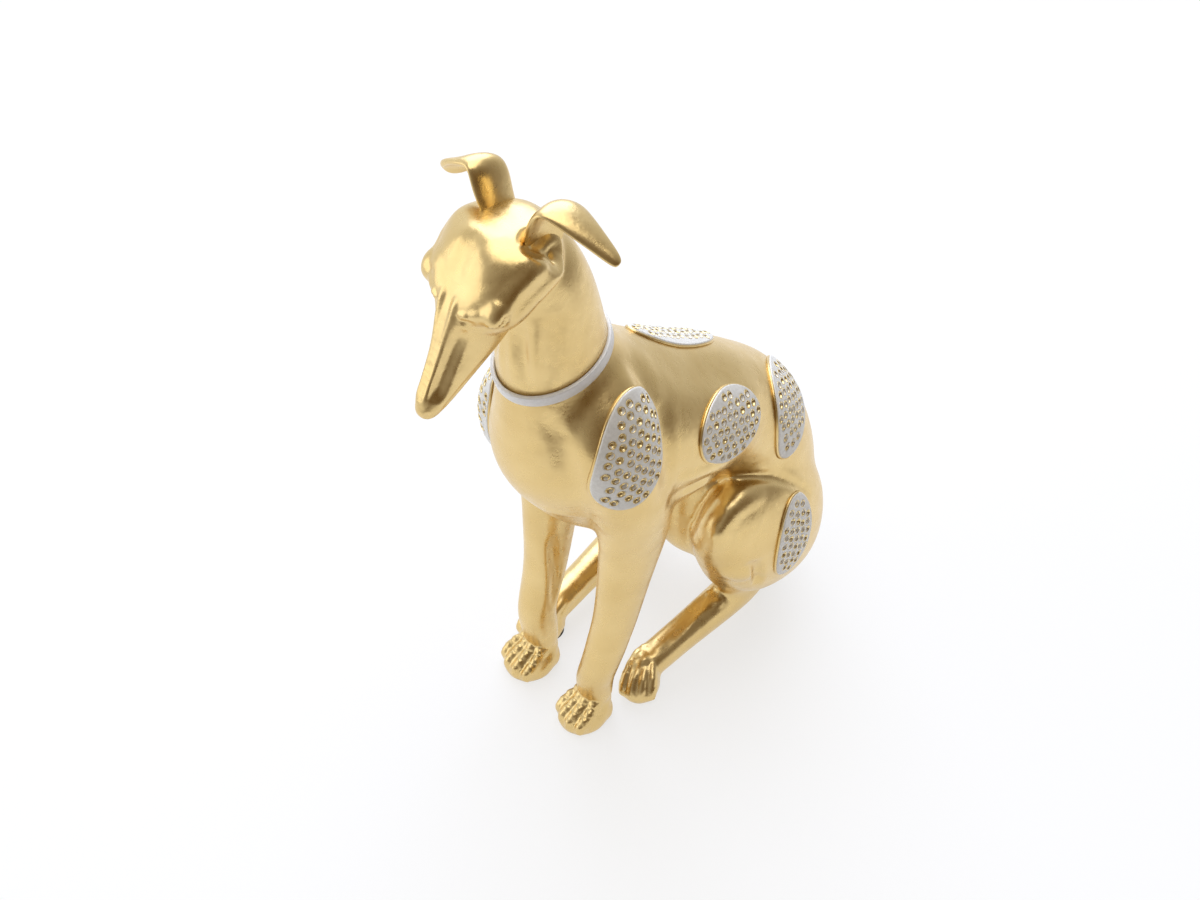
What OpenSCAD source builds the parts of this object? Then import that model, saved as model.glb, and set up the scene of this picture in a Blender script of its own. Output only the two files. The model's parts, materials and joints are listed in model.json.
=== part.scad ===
// Seated sighthound statue. The trunk and legs are one hollow casting, and the head and neck another that plugs
// into it at the collar. The ears are glued in, the patches lie in seats, and the studs sit in the patches.
// Millimetres. +Z is up, the dog faces -Y and its left side is +X. The floor is z = 0.

/* [Trunk] */
// height of the back where the neck joins it
withers_height = 206; // [200:1:212]
// height of the underside of the chest
chest_height = 114; // [106:1:120]
// how far the rump reaches back from the plane of the shoulders
rump_reach = 109; // [102:1:116]
// width of the chest
chest_width = 74; // [66:1:82]
// width of the waist
waist_width = 64; // [54:1:70]
// width of the rump
rump_width = 63; // [54:1:70]
// width of the part that sits on the floor
seat_width = 34; // [30:1:40]
// thickness of the hollow casting's wall
wall = 6; // [4:0.5:8]

/* [Neck and collar] */
// width of the neck at the collar
neck_width = 40; // [36:1:44]
// width of the neck behind the jaw
throat_width = 37; // [32:1:40]
// height of the collar band, along the neck
collar_height = 4; // [3:0.5:6]
// thickness of the collar band
collar_thickness = 2; // [1.6:0.1:3]
// depth of the groove that the collar band lies in
collar_groove = 1; // [0.6:0.1:1.4]
// length of the spigot that the head casting plugs in with
spigot_length = 12; // [8:1:16]

/* [Head] */
// from the back of the skull to the tip of the nose
head_length = 87; // [82:1:94]
// width of the skull in front of the ears
skull_width = 43; // [38:1:48]
// width of the muzzle halfway along
muzzle_width = 19; // [15:0.5:22]
// how far the nose is lowered from level
head_pitch = 53.5; // [48:0.5:60]
// how far the head is turned to the dog's left
head_turn = 2; // [0:0.5:6]
// how far the back of the skull lies in front of the top of the collar
head_forward = 32.5; // [28:0.5:36]
// height of the back of the skull above the top of the collar
head_rise = 72.5; // [68:0.5:76]
// diameter of an eyeball
eye_diameter = 8; // [6:0.5:10]

/* [Ears] */
// how far an ear stands out from its root
ear_reach = 31; // [26:1:36]
// height of the fold above the root of an ear
ear_height = 15; // [12:0.5:18]
// width of an ear at its fold
ear_width = 18; // [14:1:22]
// how much lower the right ear folds than the left one
right_ear_drop = 6.5; // [0:0.5:8]
// thickness of an ear
ear_thickness = 3.4; // [2.6:0.2:4.4]
// how deep an ear's root sits in the skull
ear_root = 6; // [4:0.5:8]

/* [Legs] */
// distance between the middles of the front paws
front_spread = 38; // [34:1:44]
// how much further forward the right shoulder stands than the left one
right_shoulder_lead = 1.5; // [0:0.5:4]
// how much lower the right shoulder hangs than the left one
right_shoulder_drop = 12; // [6:1:14]
// thickness of a front leg at its thinnest
shin_width = 15.6; // [13:0.2:18]
// width of a front paw
front_paw_width = 23; // [20:0.5:26]
// length of a front paw
front_paw_length = 30; // [26:0.5:34]
// distance of a thigh's middle from the dog's midline
thigh_offset = 28; // [25:0.5:31]
// thickness of a thigh from side to side
thigh_width = 32; // [26:1:36]
// thickness of a hind foot between hock and paw
hind_foot_width = 15; // [12:0.5:18]
// width of a hind paw
hind_paw_width = 21; // [18:0.5:24]
// diameter of the tail at its root
tail_diameter = 13; // [9:0.5:16]

/* [Patches and studs] */
// length of a shoulder patch
shoulder_patch_length = 53; // [46:1:58]
// width of a shoulder patch
shoulder_patch_width = 33; // [28:1:36]
// length of a flank patch
flank_patch_length = 41; // [36:1:46]
// width of a flank patch
flank_patch_width = 33; // [28:1:38]
// length of the patch behind the neck
withers_patch_length = 54; // [46:1:58]
// width of the patch behind the neck
withers_patch_width = 25; // [22:1:30]
// length of the rump patch, across the back
rump_patch_length = 54; // [48:1:60]
// width of the rump patch
rump_patch_width = 33; // [28:1:36]
// length of a thigh patch, up and down
thigh_patch_length = 51; // [44:1:56]
// width of a thigh patch
thigh_patch_width = 24; // [20:1:28]
// how far a patch stands out of the casting
patch_rise = 1.5; // [1:0.1:2.2]
// how deep a patch's seat is cut into the casting
seat_depth = 1; // [0.6:0.1:1.6]
// diameter of a stud
stud_diameter = 2.8; // [2:0.1:3.2]
// distance between neighbouring studs
stud_spacing = 4.5; // [4:0.1:6]
// thickness of a stud
stud_thickness = 0.9; // [0.6:0.1:1.2]

/* [Underside] */
// thickness of a felt pad
pad_thickness = 1.5; // [1:0.1:3]
// diameter of a felt pad under a paw
paw_pad_diameter = 16; // [12:0.5:18]
// diameter of the felt pad under the seat
seat_pad_diameter = 24; // [20:0.5:28]
// diameter of the filler plug's head
plug_diameter = 17; // [14:0.5:18]
// thickness of the filler plug's head
plug_head = 2; // [1.5:0.1:3]
// diameter of the hole that the casting is filled and drained through
filler_hole = 11; // [8:0.5:12]

/* [Clearances] */
// gap between a glued piece and its seat
glue_gap = 0.3; // [0.2:0.05:0.4]
// gap between a stud and its pocket
stud_gap = 0.12; // [0.08:0.01:0.2]

/* [Hidden] */

gold = [0.83, 0.71, 0.42];
silver = [0.74, 0.74, 0.76];
stud_gold = [0.78, 0.62, 0.28];
felt = [0.25, 0.23, 0.21];
plug_grey = [0.55, 0.54, 0.52];

left = 1;
right = -1;

// Curves and sections

// a smooth curve through rows of numbers; u runs from 0 at the first row, by one a row
function spline_at(rows, u) =
  let(last = len(rows) - 1,
      i = min(max(floor(u), 0), last - 1),
      t = u - i,
      a = rows[max(i - 1, 0)],
      b = rows[i],
      c = rows[i + 1],
      d = rows[min(i + 2, last)])
  (2 * b + (c - a) * t + (2 * a - 5 * b + 4 * c - d) * t * t + (3 * b - a - 3 * c + d) * t * t * t) / 2;

// the rows of a curve and the places between them, steps to a row
function finer(rows, steps, from = 0, to = undef) =
  let(end = is_undef(to) ? len(rows) - 1 : to,
      count = round((end - from) * steps))
  [for (i = [0:count]) spline_at(rows, from + (end - from) * i / count)];

// A section is an oval ring across a limb:
// [x, y, z of its middle, half width, half depth, angle of its depth from level, widening to the top, squareness]
function section(middle, half_width, half_depth, angle, widening = 0, squareness = 0) =
  [middle[0], middle[1], middle[2], half_width, half_depth, angle, widening, squareness];

// a section between a point on the upper outline and one on the lower outline, both given as [y, z]
function section_between(top, bottom, half_width, widening = 0) =
  section([0, (top[0] + bottom[0]) / 2, (top[1] + bottom[1]) / 2], half_width, norm(top - bottom) / 2,
          atan2(top[1] - bottom[1], top[0] - bottom[0]), widening);

// the same section made larger all round, or smaller where grow is negative
function grown(s, grow) = [s[0], s[1], s[2], s[3] + grow, s[4] + grow, s[5], s[6], s[7]];

function rounded_power(value, squareness) = sign(value) * pow(abs(value), 1 - squareness);

// the point of a section at angle a, from its +X side towards its top
function ring_point(s, a) =
  let(across = rounded_power(cos(a), s[7]),
      up = rounded_power(sin(a), s[7]))
  [s[0] + s[3] * across * (1 + s[6] * up),
   s[1] + s[4] * up * cos(s[5]),
   s[2] + s[4] * up * sin(s[5])];

// a solid skin over rings of the same number of points, listed so that they turn right-handed along the way
module skin(rings) {
  count = len(rings[0]);
  last = len(rings) - 1;
  sides = [for (i = [0:last - 1], j = [0:count - 1])
    let(k = (j + 1) % count)
    each [[i * count + j, (i + 1) * count + k, i * count + k],
          [i * count + j, (i + 1) * count + j, (i + 1) * count + k]]];
  first_cap = [for (j = [0:count - 1]) j];
  last_cap = [for (j = [count - 1:-1:0]) last * count + j];
  polyhedron([for (ring = rings) each ring], concat(sides, [first_cap, last_cap]));
}

// a solid through sections; forward says whether they advance along X crossed with their depth
module loft(sections, count, forward = true) {
  turn = forward ? 1 : -1;
  skin([for (s = sections) [for (j = [0:count - 1]) ring_point(s, turn * 360 * j / count)]]);
}

module ball(place, radius, facets = 9) translate(place) sphere(radius, $fn = facets);

module mirrored(side) mirror([side < 0 ? 1 : 0, 0, 0]) children();

// Trunk

// the joint between the castings, on the upper and lower outlines of the neck
collar_top = [-13, withers_height + 19];
collar_bottom = [-59, withers_height + 6];
collar_section = section_between(collar_top, collar_bottom, neck_width / 2);
neck_lean = collar_section[5];
neck_axis = [0, -sin(neck_lean), cos(neck_lean)];
function along_neck(s, distance) = s + concat(neck_axis * distance, [0, 0, 0, 0, 0]);

trunk_rows = [
  collar_section,
  section_between([-3, withers_height + 4], [-60, withers_height - 18], neck_width / 4 + chest_width / 4 - 1.5),
  section_between([11, withers_height - 7], [-60, withers_height - 43], chest_width / 2 - 2.5, -0.02),
  section_between([27, withers_height - 20], [-47, chest_height + 25], chest_width / 2, 0.08),
  section_between([41, withers_height - 29], [-26, chest_height + 1], chest_width / 2, 0.16),
  section_between([56, withers_height - 39], [2, chest_height - 2], chest_width / 2 - 1, 0.15),
  section_between([70, withers_height - 51], [22, chest_height + 2], waist_width / 2, 0.05),
  section_between([rump_reach - 25, 143], [39, chest_height - 10], rump_width / 2),
  section_between([rump_reach - 12, 124], [48, 80], rump_width / 2),
  section_between([rump_reach - 3, 99], [54, 58], rump_width / 2),
  section_between([rump_reach, 70], [58, 40], rump_width / 2 - 3),
  section_between([rump_reach - 5, 40], [62, 22], rump_width / 4 + seat_width / 4),
  section_between([rump_reach - 14, 16], [64, 9], seat_width / 2),
  section_between([rump_reach - 18, 1], [66, 0], seat_width / 2 - 1),
];
trunk_end = len(trunk_rows) - 1;
trunk_steps = 2;
trunk_facets = 24;

// places along the trunk where the hollow begins and ends
hollow_from = 0.6;
hollow_to = trunk_end - 1.2;
hollow_facets = 16;

module trunk() loft(finer(trunk_rows, trunk_steps), trunk_facets, false);

module trunk_hollow() {
  inner = [for (s = finer(trunk_rows, 1, hollow_from, hollow_to)) grown(s, -wall)];
  loft(inner, hollow_facets, false);
}

// Legs

shin = shin_width / 2;

function front_paw_place(side) = [side * front_spread / 2 - 3, -29, 0];

// sections of a front leg, from the top of the shoulder down to the paw; it leans in to the paw below the elbow
front_leg_facets = 14;
front_leg_steps = 1.5;
shoulder = chest_width / 2 - 9;
elbow_height = chest_height + 5;
// height from the chest up to the withers; the sections of a shoulder blade stand at shares of it
blade_height = withers_height - chest_height;
function front_leg_rows(side) =
  let(paw = front_paw_place(side),
      lean = function (z) paw[0] + (side * (shoulder - 3) - paw[0]) * min(1, z / elbow_height),
      lead = side > 0 ? 0 : right_shoulder_lead,
      drop = side > 0 ? 0 : right_shoulder_drop,
      top = withers_height - drop)
  [section([side * (shoulder - 11), -24 - lead, top + 9], 4, 6, 0),
   section([side * (shoulder - 7), -28 - lead, top], 11, 14, 0),
   section([side * (shoulder - 3), -29 - lead, top - blade_height * 4 / 23], 14.5, 19, 0),
   section([side * (shoulder - 1), -25 - lead, top - blade_height * 19 / 46], 15, 20, 0),
   section([side * (shoulder + 0.5), -19 - lead / 2, chest_height + blade_height * 31 / 92 - drop / 2],
           shin + 5.5, 18, 0),
   section([lean(elbow_height), -18, elbow_height], shin + 3, 15, 0),
   section([lean(96), -20.5, 96], shin + 1.6, 11.9, 0),
   section([lean(72), -22, 72], shin + 0.2, 9.6, 0),
   section([lean(54), -24.5, 54], shin + 0.2, 9.2, 0),
   section([lean(38), -28, 38], shin, 8.6, 0),
   section([paw[0], -29, 24], shin + 1.2, 10, 0),
   section([paw[0], -29.5, 10], shin + 2, 12, 0)];

// a thigh, from the knee back to the rump
thigh = thigh_width / 2;
thigh_rows = [
  section([thigh_offset, 22, 90], thigh - 12, 5, 90),
  section([thigh_offset + 0.5, 27, 87], thigh - 7, 18, 90),
  section([thigh_offset + 0.5, 38, 79], thigh - 2, 32, 90),
  section([thigh_offset, 52, 72], thigh, 38, 90),
  section([thigh_offset - 1, 68, 67], thigh, 40, 90),
  section([thigh_offset - 3, 84, 61], thigh - 1, 36, 90),
  section([thigh_offset - 6, 97, 57], thigh - 5, 27, 90),
  section([thigh_offset - 10, 104, 56], thigh - 11, 13, 90),
];
thigh_steps = 2;
thigh_facets = 18;

// the right hind foot stands further out and further forward than the left one
function hind_paw_place(side) = side > 0 ? [22, 2, 0] : [-36, -13, 0];
hind_paw_turn = 6;
function hock_place(side) = side > 0 ? [15, 68, 17] : [-48, 60, 17];

// a shank from the knee down and back to the hock
function shank_rows(side) =
  let(knee = [side * (thigh_offset - 3), 31, 82],
      hock = hock_place(side),
      along = function (t) knee + (hock - knee) * t)
  [section(along(-0.12), thigh - 10, 7, 45),
   section(along(0), thigh - 6, 11, 45),
   section(along(0.3), thigh - 5, 14, 45),
   section(along(0.55), thigh - 5.5, 14, 45),
   section(along(0.8), thigh - 6.5, 12, 45),
   section(along(1), thigh - 8, 10, 45)];

// the lap: the underside of the body between the thighs
lap = waist_width / 2;
lap_facets = 16;
lap_rows = [
  section([0, 46, chest_height - 2], lap - 12, 16, 0),
  section([0, 46, 92], lap - 6, 19, 0),
  section([0, 47, 68], lap - 6, 19, 0),
  section([0, 51, 51], lap - 10, 14, 0),
  section([0, 58, 37], lap - 16, 8, 0),
];

hind_foot = hind_foot_width / 2;
hind_foot_facets = 12;
hind_foot_steps = 1.5;

// a hind foot from behind the hock to the middle of the paw
function hind_foot_rows(side) =
  let(paw = hind_paw_place(side) + [0, 0, 11],
      hock = hock_place(side),
      along = function (t) paw + (hock - paw) * t)
  [section(along(1.17), hind_foot - 1.5, 7, 90),
   section(along(1), hind_foot + 1, 11, 90),
   section(along(0.8), hind_foot + 1.5, 11, 90),
   section(along(0.6), hind_foot + 1.2, 10, 90),
   section(along(0.35), hind_foot + 0.7, 9, 90),
   section(along(0.12), hind_foot + 0.7, 8.6, 90),
   section(along(0), hind_foot + 0.5, 8, 90)];

// a paw: a rounded middle on a flat sole with four toes; each toe drops from a knuckle to a tip
toe_radius = 4.4;
sole_height = 5;
module paw(width, length) {
  hull() {
    for (side = [left, right]) ball([side * width * 0.22, length * 0.12, 7.5], 7.4);
    ball([0, length * 0.1, 12], 8);
    cylinder(d = paw_pad_diameter + 1, h = sole_height, $fn = 24);
  }
  for (toe = [-1.5:1:1.5]) {
    lead = abs(toe) < 1 ? 2 : 0;
    hull() {
      ball([toe * width * 0.225, -length * 0.1 - lead, 9.5], toe_radius);
      ball([toe * width * 0.235, -length * 0.28 - lead, toe_radius], toe_radius);
    }
  }
}

module front_leg(side) {
  loft(finer(front_leg_rows(side), front_leg_steps), front_leg_facets, false);
  translate(front_paw_place(side)) paw(front_paw_width, front_paw_length);
}

module hind_leg(side) {
  mirrored(side) loft(finer(thigh_rows, thigh_steps), thigh_facets, false);
  loft(finer(shank_rows(side), hind_foot_steps), hind_foot_facets, false);
  loft(finer(hind_foot_rows(side), hind_foot_steps), hind_foot_facets, true);
  translate(hind_paw_place(side)) rotate(hind_paw_turn) paw(hind_paw_width, front_paw_length - 3);
}

// the tail lies on the floor round the right side of the rump
tail_path = [[0, rump_reach - 9, 34], [-6, rump_reach - 1, 16], [-18, rump_reach + 2, 8], [-32, rump_reach, 7],
             [-43, rump_reach - 8, 6], [-49, rump_reach - 17, 6], [-51, rump_reach - 25, 5]];
module tail() {
  joints = finer(tail_path, 1.5);
  taper = function (i) tail_diameter / 2 * (1 - 0.6 * i / (len(joints) - 1));
  for (i = [0:len(joints) - 2]) {
    hull() {
      ball(joints[i], taper(i));
      ball(joints[i + 1], taper(i + 1));
    }
  }
}

// Neck and head

neck_rows = [
  collar_section,
  section_between(collar_top + [-5, 22], collar_bottom + [0, 16], neck_width / 4 + throat_width / 4),
  section_between(collar_top + [-10, 37], collar_bottom + [1, 29], throat_width / 2),
  section_between(collar_top + [-18, 52], collar_bottom + [1, 40], throat_width / 2 - 1.5),
  section_between(collar_top + [-31, 60], collar_bottom + [-3, 52], throat_width / 2 - 5),
];
neck_steps = 2;
neck_facets = 22;

skull_place = [-1.5, collar_top[0] - head_forward, collar_top[1] + head_rise];
skull = skull_width / 2;
muzzle = muzzle_width / 2;

// a section of the head at a distance in front of the back of the skull
function head_section(ahead, top, bottom, half_width, widening, squareness) =
  section([0, -ahead, (top + bottom) / 2], half_width, (top - bottom) / 2, 90, widening, squareness);

head_rows = [
  head_section(4, -8, -15, skull - 15, 0, 0),
  head_section(7, -1, -18, skull - 8, 0.1, 0),
  head_section(13, 8.5, -21, skull - 2.5, 0.15, 0.1),
  head_section(20, 14.5, -23, skull, 0.15, 0.15),
  head_section(30, 14.5, -22, skull - 0.5, 0.25, 0.2),
  head_section(39, 12.5, -19, skull - 2.5, 0.4, 0.25),
  head_section(46, 10.5, -18, muzzle + 5, 0.45, 0.25),
  head_section(56, 7.5, -16.5, muzzle + 1.6, 0.3, 0.25),
  head_section(head_length - 19, 4.5, -13.5, muzzle - 0.2, 0.25, 0.25),
  head_section(head_length - 9, 2, -10.5, muzzle - 1.5, 0.2, 0.2),
  head_section(head_length - 3, 0, -8.5, muzzle - 3, 0.1, 0.1),
  head_section(head_length, -2, -5, muzzle - 6, 0, 0),
];
head_steps = 2;
head_facets = 22;

module on_skull() translate(skull_place) rotate(head_turn) children();
module on_head() on_skull() rotate([head_pitch, 0, 0]) children();

eye_ahead = 42.5;
eye_up = 6.5;
module face(side) {
  eye = eye_diameter / 2;
  socket = skull - 6.5;
  ball([side * socket, -eye_ahead, eye_up], eye, 18);
  // brow over the eye
  hull() {
    ball([side * (socket - 3.5), -eye_ahead - 0.5, eye_up + 4], eye + 0.4);
    ball([side * (socket + 1), -eye_ahead + 5, eye_up + 2], eye + 0.2);
  }
  // lower lid
  hull() {
    ball([side * (socket - 3.5), -eye_ahead - 4.5, eye_up + 1], eye - 1.6);
    ball([side * (socket + 1.5), -eye_ahead - 1, eye_up - 3], eye - 1.8);
  }
  hull() {
    ball([side * (socket + 1.5), -eye_ahead - 1, eye_up - 3], eye - 1.8);
    ball([side * (socket + 4), -eye_ahead + 3.5, eye_up - 3.5], eye - 2);
  }
  // cheek
  hull() {
    ball([side * (skull - 8), -24, -8], 9);
    ball([side * (skull - 11), -34, -11], 7);
  }
}

module nose() hull() {
  for (side = [left, right]) ball([side * 2.4, -head_length + 1.5, -1.2], 3);
  ball([0, -head_length + 3, -4.2], 2.4);
}

// the spigot follows the neck's axis down into the body casting
spigot_inset = wall + 1.5;
spigot_overlap = 3;
module spigot(length, grow) {
  foot = grown(collar_section, grow - spigot_inset);
  loft([along_neck(foot, -length), along_neck(foot, spigot_overlap)], neck_facets, true);
}

module neck_hollow() {
  inner = [for (s = finer(neck_rows, 1, 0, 3)) grown(s, -wall - 4)];
  foot = grown(collar_section, -wall - 4);
  loft(concat([along_neck(foot, -spigot_length - 1)], inner), hollow_facets, true);
}

// Ears

// an ear leaves the skull at this place of the head's surface
ear_ahead_row = 1.57;
ear_angle = 32;
function turned_down(p) =
  [p[0], p[1] * cos(head_pitch) - p[2] * sin(head_pitch), p[1] * sin(head_pitch) + p[2] * cos(head_pitch)];
ear_seat = turned_down(ring_point(spline_at(head_rows, ear_ahead_row), ear_angle));
// how far each ear is swept back from straight out
function ear_sweep(side) = side > 0 ? 12 : 20;
// how far the tip of each ear hangs, as a share of the fold's height
function ear_droop(side) = side > 0 ? 0.85 : 1;

// an ear rises from its root, folds outwards and runs to a tip: [out, up, direction, half width, half thickness]
half_ear = ear_width / 2;
half_sheet = ear_thickness / 2;
function ear_rows(side) =
  let(fold = side > 0 ? ear_height : ear_height - right_ear_drop,
      hang = fold * ear_droop(side))
  [[-2, -ear_root, 70, half_ear - 1, half_sheet],
   [0, 0, 72, half_ear - 0.5, half_sheet + 0.4],
   [ear_reach * 0.08, fold * 0.45, 74, half_ear, half_sheet + 0.1],
   [ear_reach * 0.16, fold * 0.82, 58, half_ear, half_sheet],
   [ear_reach * 0.32, fold, 0, half_ear - 0.4, half_sheet],
   [ear_reach * 0.56, fold - hang * 0.2, -33, half_ear - 2.4, half_sheet],
   [ear_reach * 0.8, fold - hang * 0.6, -42, half_ear - 5, half_sheet - 0.1],
   [ear_reach, fold - hang, -44, half_ear - 7.4, half_sheet - 0.4]];
ear_steps = 3;
ear_facets = 16;

module at_ear(side) on_skull() mirrored(side) translate(ear_seat) children();

module ear_solid(side, grow) {
  rows = [for (e = finer(ear_rows(side), ear_steps))
    section([0, e[0], e[1]], e[3] + grow, e[4] + grow, e[2] - 90)];
  at_ear(side) rotate(ear_sweep(side) - 90) loft(rows, ear_facets, true);
}

// the swelling of the skull that an ear's root sits in
module ear_base(side) at_ear(side) hull() {
  ball([-6, -3, -4], half_ear - 2);
  ball([-7, 6, -5], half_ear - 2);
}

// Collar

collar_facets = 48;

module collar_band() {
  inner = grown(collar_section, glue_gap - collar_groove);
  edge = grown(inner, collar_thickness * 0.7);
  outer = grown(inner, collar_thickness);
  half = collar_height / 2;
  difference() {
    loft([along_neck(edge, -half), along_neck(outer, -half * 0.6), along_neck(outer, half * 0.6),
          along_neck(edge, half)], collar_facets, true);
    loft([along_neck(inner, -half - 1), along_neck(inner, half + 1)], collar_facets, true);
  }
}

// the groove that both castings leave for the collar band
module collar_seat() {
  floor_ring = grown(collar_section, -collar_groove);
  clear_ring = grown(collar_section, 12);
  half = collar_height / 2 + glue_gap;
  difference() {
    loft([along_neck(clear_ring, -half), along_neck(clear_ring, half)], collar_facets, true);
    loft([along_neck(floor_ring, -half - 1), along_neck(floor_ring, half + 1)], collar_facets, true);
  }
}

// the thin gap for glue between the end faces of the castings
module joint_gap() {
  wide = grown(collar_section, 12);
  loft([along_neck(wide, -glue_gap), along_neck(wide, collar_height)], collar_facets, true);
}

// Patches: [surface rows, row, angle, length, width, turn of the length from along the rows, side]
left_shoulder = [front_leg_rows(left), 1.87, -4, shoulder_patch_length, shoulder_patch_width, -24, left];
left_flank = [trunk_rows, 4.22, 32, flank_patch_length, flank_patch_width, -7, left];
withers = [trunk_rows, 3.35, 92, withers_patch_length, withers_patch_width, 3, left];
rump = [trunk_rows, 6.97, 47, rump_patch_length, rump_patch_width, 90, left];
left_thigh = [thigh_rows, 3.79, 7, thigh_patch_length, thigh_patch_width, 78, left];
function other_side(patch) = [patch[0], patch[1], patch[2], patch[3], patch[4], patch[5], right];
// the right shoulder has sections of its own, which are flipped to the left side as the other patches' are
function flipped(rows) = [for (s = rows) concat([-s[0]], [for (i = [1:7]) s[i]])];
right_shoulder_rows = flipped(front_leg_rows(right));
right_shoulder = [right_shoulder_rows, 1.87, -38, shoulder_patch_length, shoulder_patch_width, -12, right];
right_flank = other_side(left_flank);
right_thigh = other_side(left_thigh);

function surface_point(rows, u, a) = ring_point(spline_at(rows, u), a);
probe_row = 0.05;
probe_angle = 1;
function surface_along(rows, u, a) =
  (surface_point(rows, u + probe_row, a) - surface_point(rows, u - probe_row, a)) / (2 * probe_row);
function surface_round(rows, u, a) =
  (surface_point(rows, u, a + probe_angle) - surface_point(rows, u, a - probe_angle)) / (2 * probe_angle);
function unit(v) = v / norm(v);
function surface_normal(rows, u, a) = unit(cross(surface_along(rows, u, a), surface_round(rows, u, a)));

// the row and angle of a place on a patch, x along its length and y across it from its middle
function patch_place(patch, x, y) =
  let(rows = patch[0],
      along = x * cos(patch[5]) - y * sin(patch[5]),
      round_way = x * sin(patch[5]) + y * cos(patch[5]))
  [patch[1] + along / norm(surface_along(rows, patch[1], patch[2])),
   patch[2] + round_way / norm(surface_round(rows, patch[1], patch[2]))];

function patch_point(patch, x, y, lift) =
  let(at = patch_place(patch, x, y))
  surface_point(patch[0], at[0], at[1]) + lift * surface_normal(patch[0], at[0], at[1]);

// an oval ring on a patch, as a share of its outline grown by a margin
patch_facets = 20;
function patch_ring(patch, share, margin, lift) =
  [for (j = [0:patch_facets - 1])
    let(a = 360 * j / patch_facets)
    patch_point(patch, share * (patch[3] / 2 + margin) * cos(a), share * (patch[4] / 2 + margin) * sin(a), lift)];

core = 0.04;
module patch_plate(patch) skin([
  patch_ring(patch, core, 0, -seat_depth),
  patch_ring(patch, 0.6, 0, -seat_depth),
  patch_ring(patch, 1, 0, -seat_depth),
  patch_ring(patch, 1, 0, patch_rise * 0.6),
  patch_ring(patch, 0.91, 0, patch_rise),
  patch_ring(patch, 0.5, 0, patch_rise),
  patch_ring(patch, core, 0, patch_rise),
]);

seat_overcut = 3;
module patch_seat(patch) mirrored(patch[6]) skin([
  patch_ring(patch, core, glue_gap, -seat_depth - glue_gap),
  patch_ring(patch, 0.6, glue_gap, -seat_depth - glue_gap),
  patch_ring(patch, 1, glue_gap, -seat_depth - glue_gap),
  patch_ring(patch, 1, glue_gap, patch_rise + seat_overcut),
  patch_ring(patch, 0.5, glue_gap, patch_rise + seat_overcut),
  patch_ring(patch, core, glue_gap, patch_rise + seat_overcut),
]);

// studs stand in staggered lines, clear of the patch's rounded rim
rim_margin = 3.2;
function stud_places(patch) =
  let(half_length = patch[3] / 2 - rim_margin,
      half_width = patch[4] / 2 - rim_margin,
      line = stud_spacing * sqrt(3) / 2,
      lines = floor(half_width / line),
      most = ceil(half_length / stud_spacing) + 1)
  [for (j = [-lines:lines], i = [-most:most])
    let(x = (i + (j % 2 == 0 ? 0 : 0.5)) * stud_spacing,
        y = j * line)
    if (pow(x / half_length, 2) + pow(y / half_width, 2) <= 1) [x, y]];

module on_patch(patch, place) {
  at = patch_place(patch, place[0], place[1]);
  normal = surface_normal(patch[0], at[0], at[1]);
  translate(patch_point(patch, place[0], place[1], patch_rise))
    rotate([0, acos(normal[2]), atan2(normal[1], normal[0])])
      children();
}

stud_rise = 0.1;
module stud() {
  radius = stud_diameter / 2;
  floor_up = stud_rise - stud_thickness;
  rotate_extrude($fn = 24)
    polygon([[0, floor_up], [radius, floor_up], [radius, stud_rise], [radius * 0.86, stud_rise],
             [radius * 0.5, stud_rise - stud_thickness * 0.45], [0, stud_rise - stud_thickness * 0.62]]);
}

module stud_pocket()
  translate([0, 0, stud_rise - stud_thickness - stud_gap])
    cylinder(r = stud_diameter / 2 + stud_gap, h = stud_thickness + 1, $fn = 24);

// Underside

seat_place = [0, rump_reach - 30, 0];
plug_shank = wall + 2;

module filler_plug() translate(seat_place + [0, 0, pad_thickness]) {
  cylinder(d = plug_diameter, h = plug_head, $fn = 48);
  cylinder(d = filler_hole - 2 * glue_gap, h = plug_head + plug_shank, $fn = 48);
}

module filler_opening() translate(seat_place) {
  cylinder(d = plug_diameter + 2 * glue_gap, h = pad_thickness + plug_head + glue_gap, $fn = 32);
  cylinder(d = filler_hole, h = 60, $fn = 32);
}

// Castings

// the statue is moved so that the box round it is centred on the origin
stand = [5.5, -9, 0];
module placed() translate(stand) children();

module below_pads() translate([-200, -200, pad_thickness - 100]) cube([400, 400, 100]);

module body_casting() color(gold) placed() difference() {
  union() {
    trunk();
    loft(lap_rows, lap_facets, false);
    for (side = [left, right]) {
      front_leg(side);
      hind_leg(side);
    }
    tail();
  }
  trunk_hollow();
  spigot(spigot_length + 1, glue_gap);
  collar_seat();
  joint_gap();
  for (patch = [left_shoulder, right_shoulder, left_flank, right_flank, withers, rump, left_thigh, right_thigh])
    patch_seat(patch);
  filler_opening();
  below_pads();
}

module head_casting() color(gold) placed() difference() {
  union() {
    loft(finer(neck_rows, neck_steps), neck_facets, true);
    spigot(spigot_length, 0);
    on_head() {
      loft(finer(head_rows, head_steps), head_facets, true);
      nose();
      for (side = [left, right]) face(side);
    }
    for (side = [left, right]) ear_base(side);
  }
  neck_hollow();
  collar_seat();
  for (side = [left, right]) ear_solid(side, glue_gap);
}

module ear(side) color(gold) placed() ear_solid(side, 0);

module collar() color(silver) placed() collar_band();

module patch(p) color(silver) placed() mirrored(p[6]) difference() {
  patch_plate(p);
  for (place = stud_places(p)) on_patch(p, place) stud_pocket();
}

module studs(p) color(stud_gold) placed() mirrored(p[6])
  for (place = stud_places(p)) on_patch(p, place) stud();

module pad(place, diameter) color(felt) placed() translate(place)
  cylinder(d = diameter, h = pad_thickness, $fn = 48);

module plug() color(plug_grey) placed() filler_plug();

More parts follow.
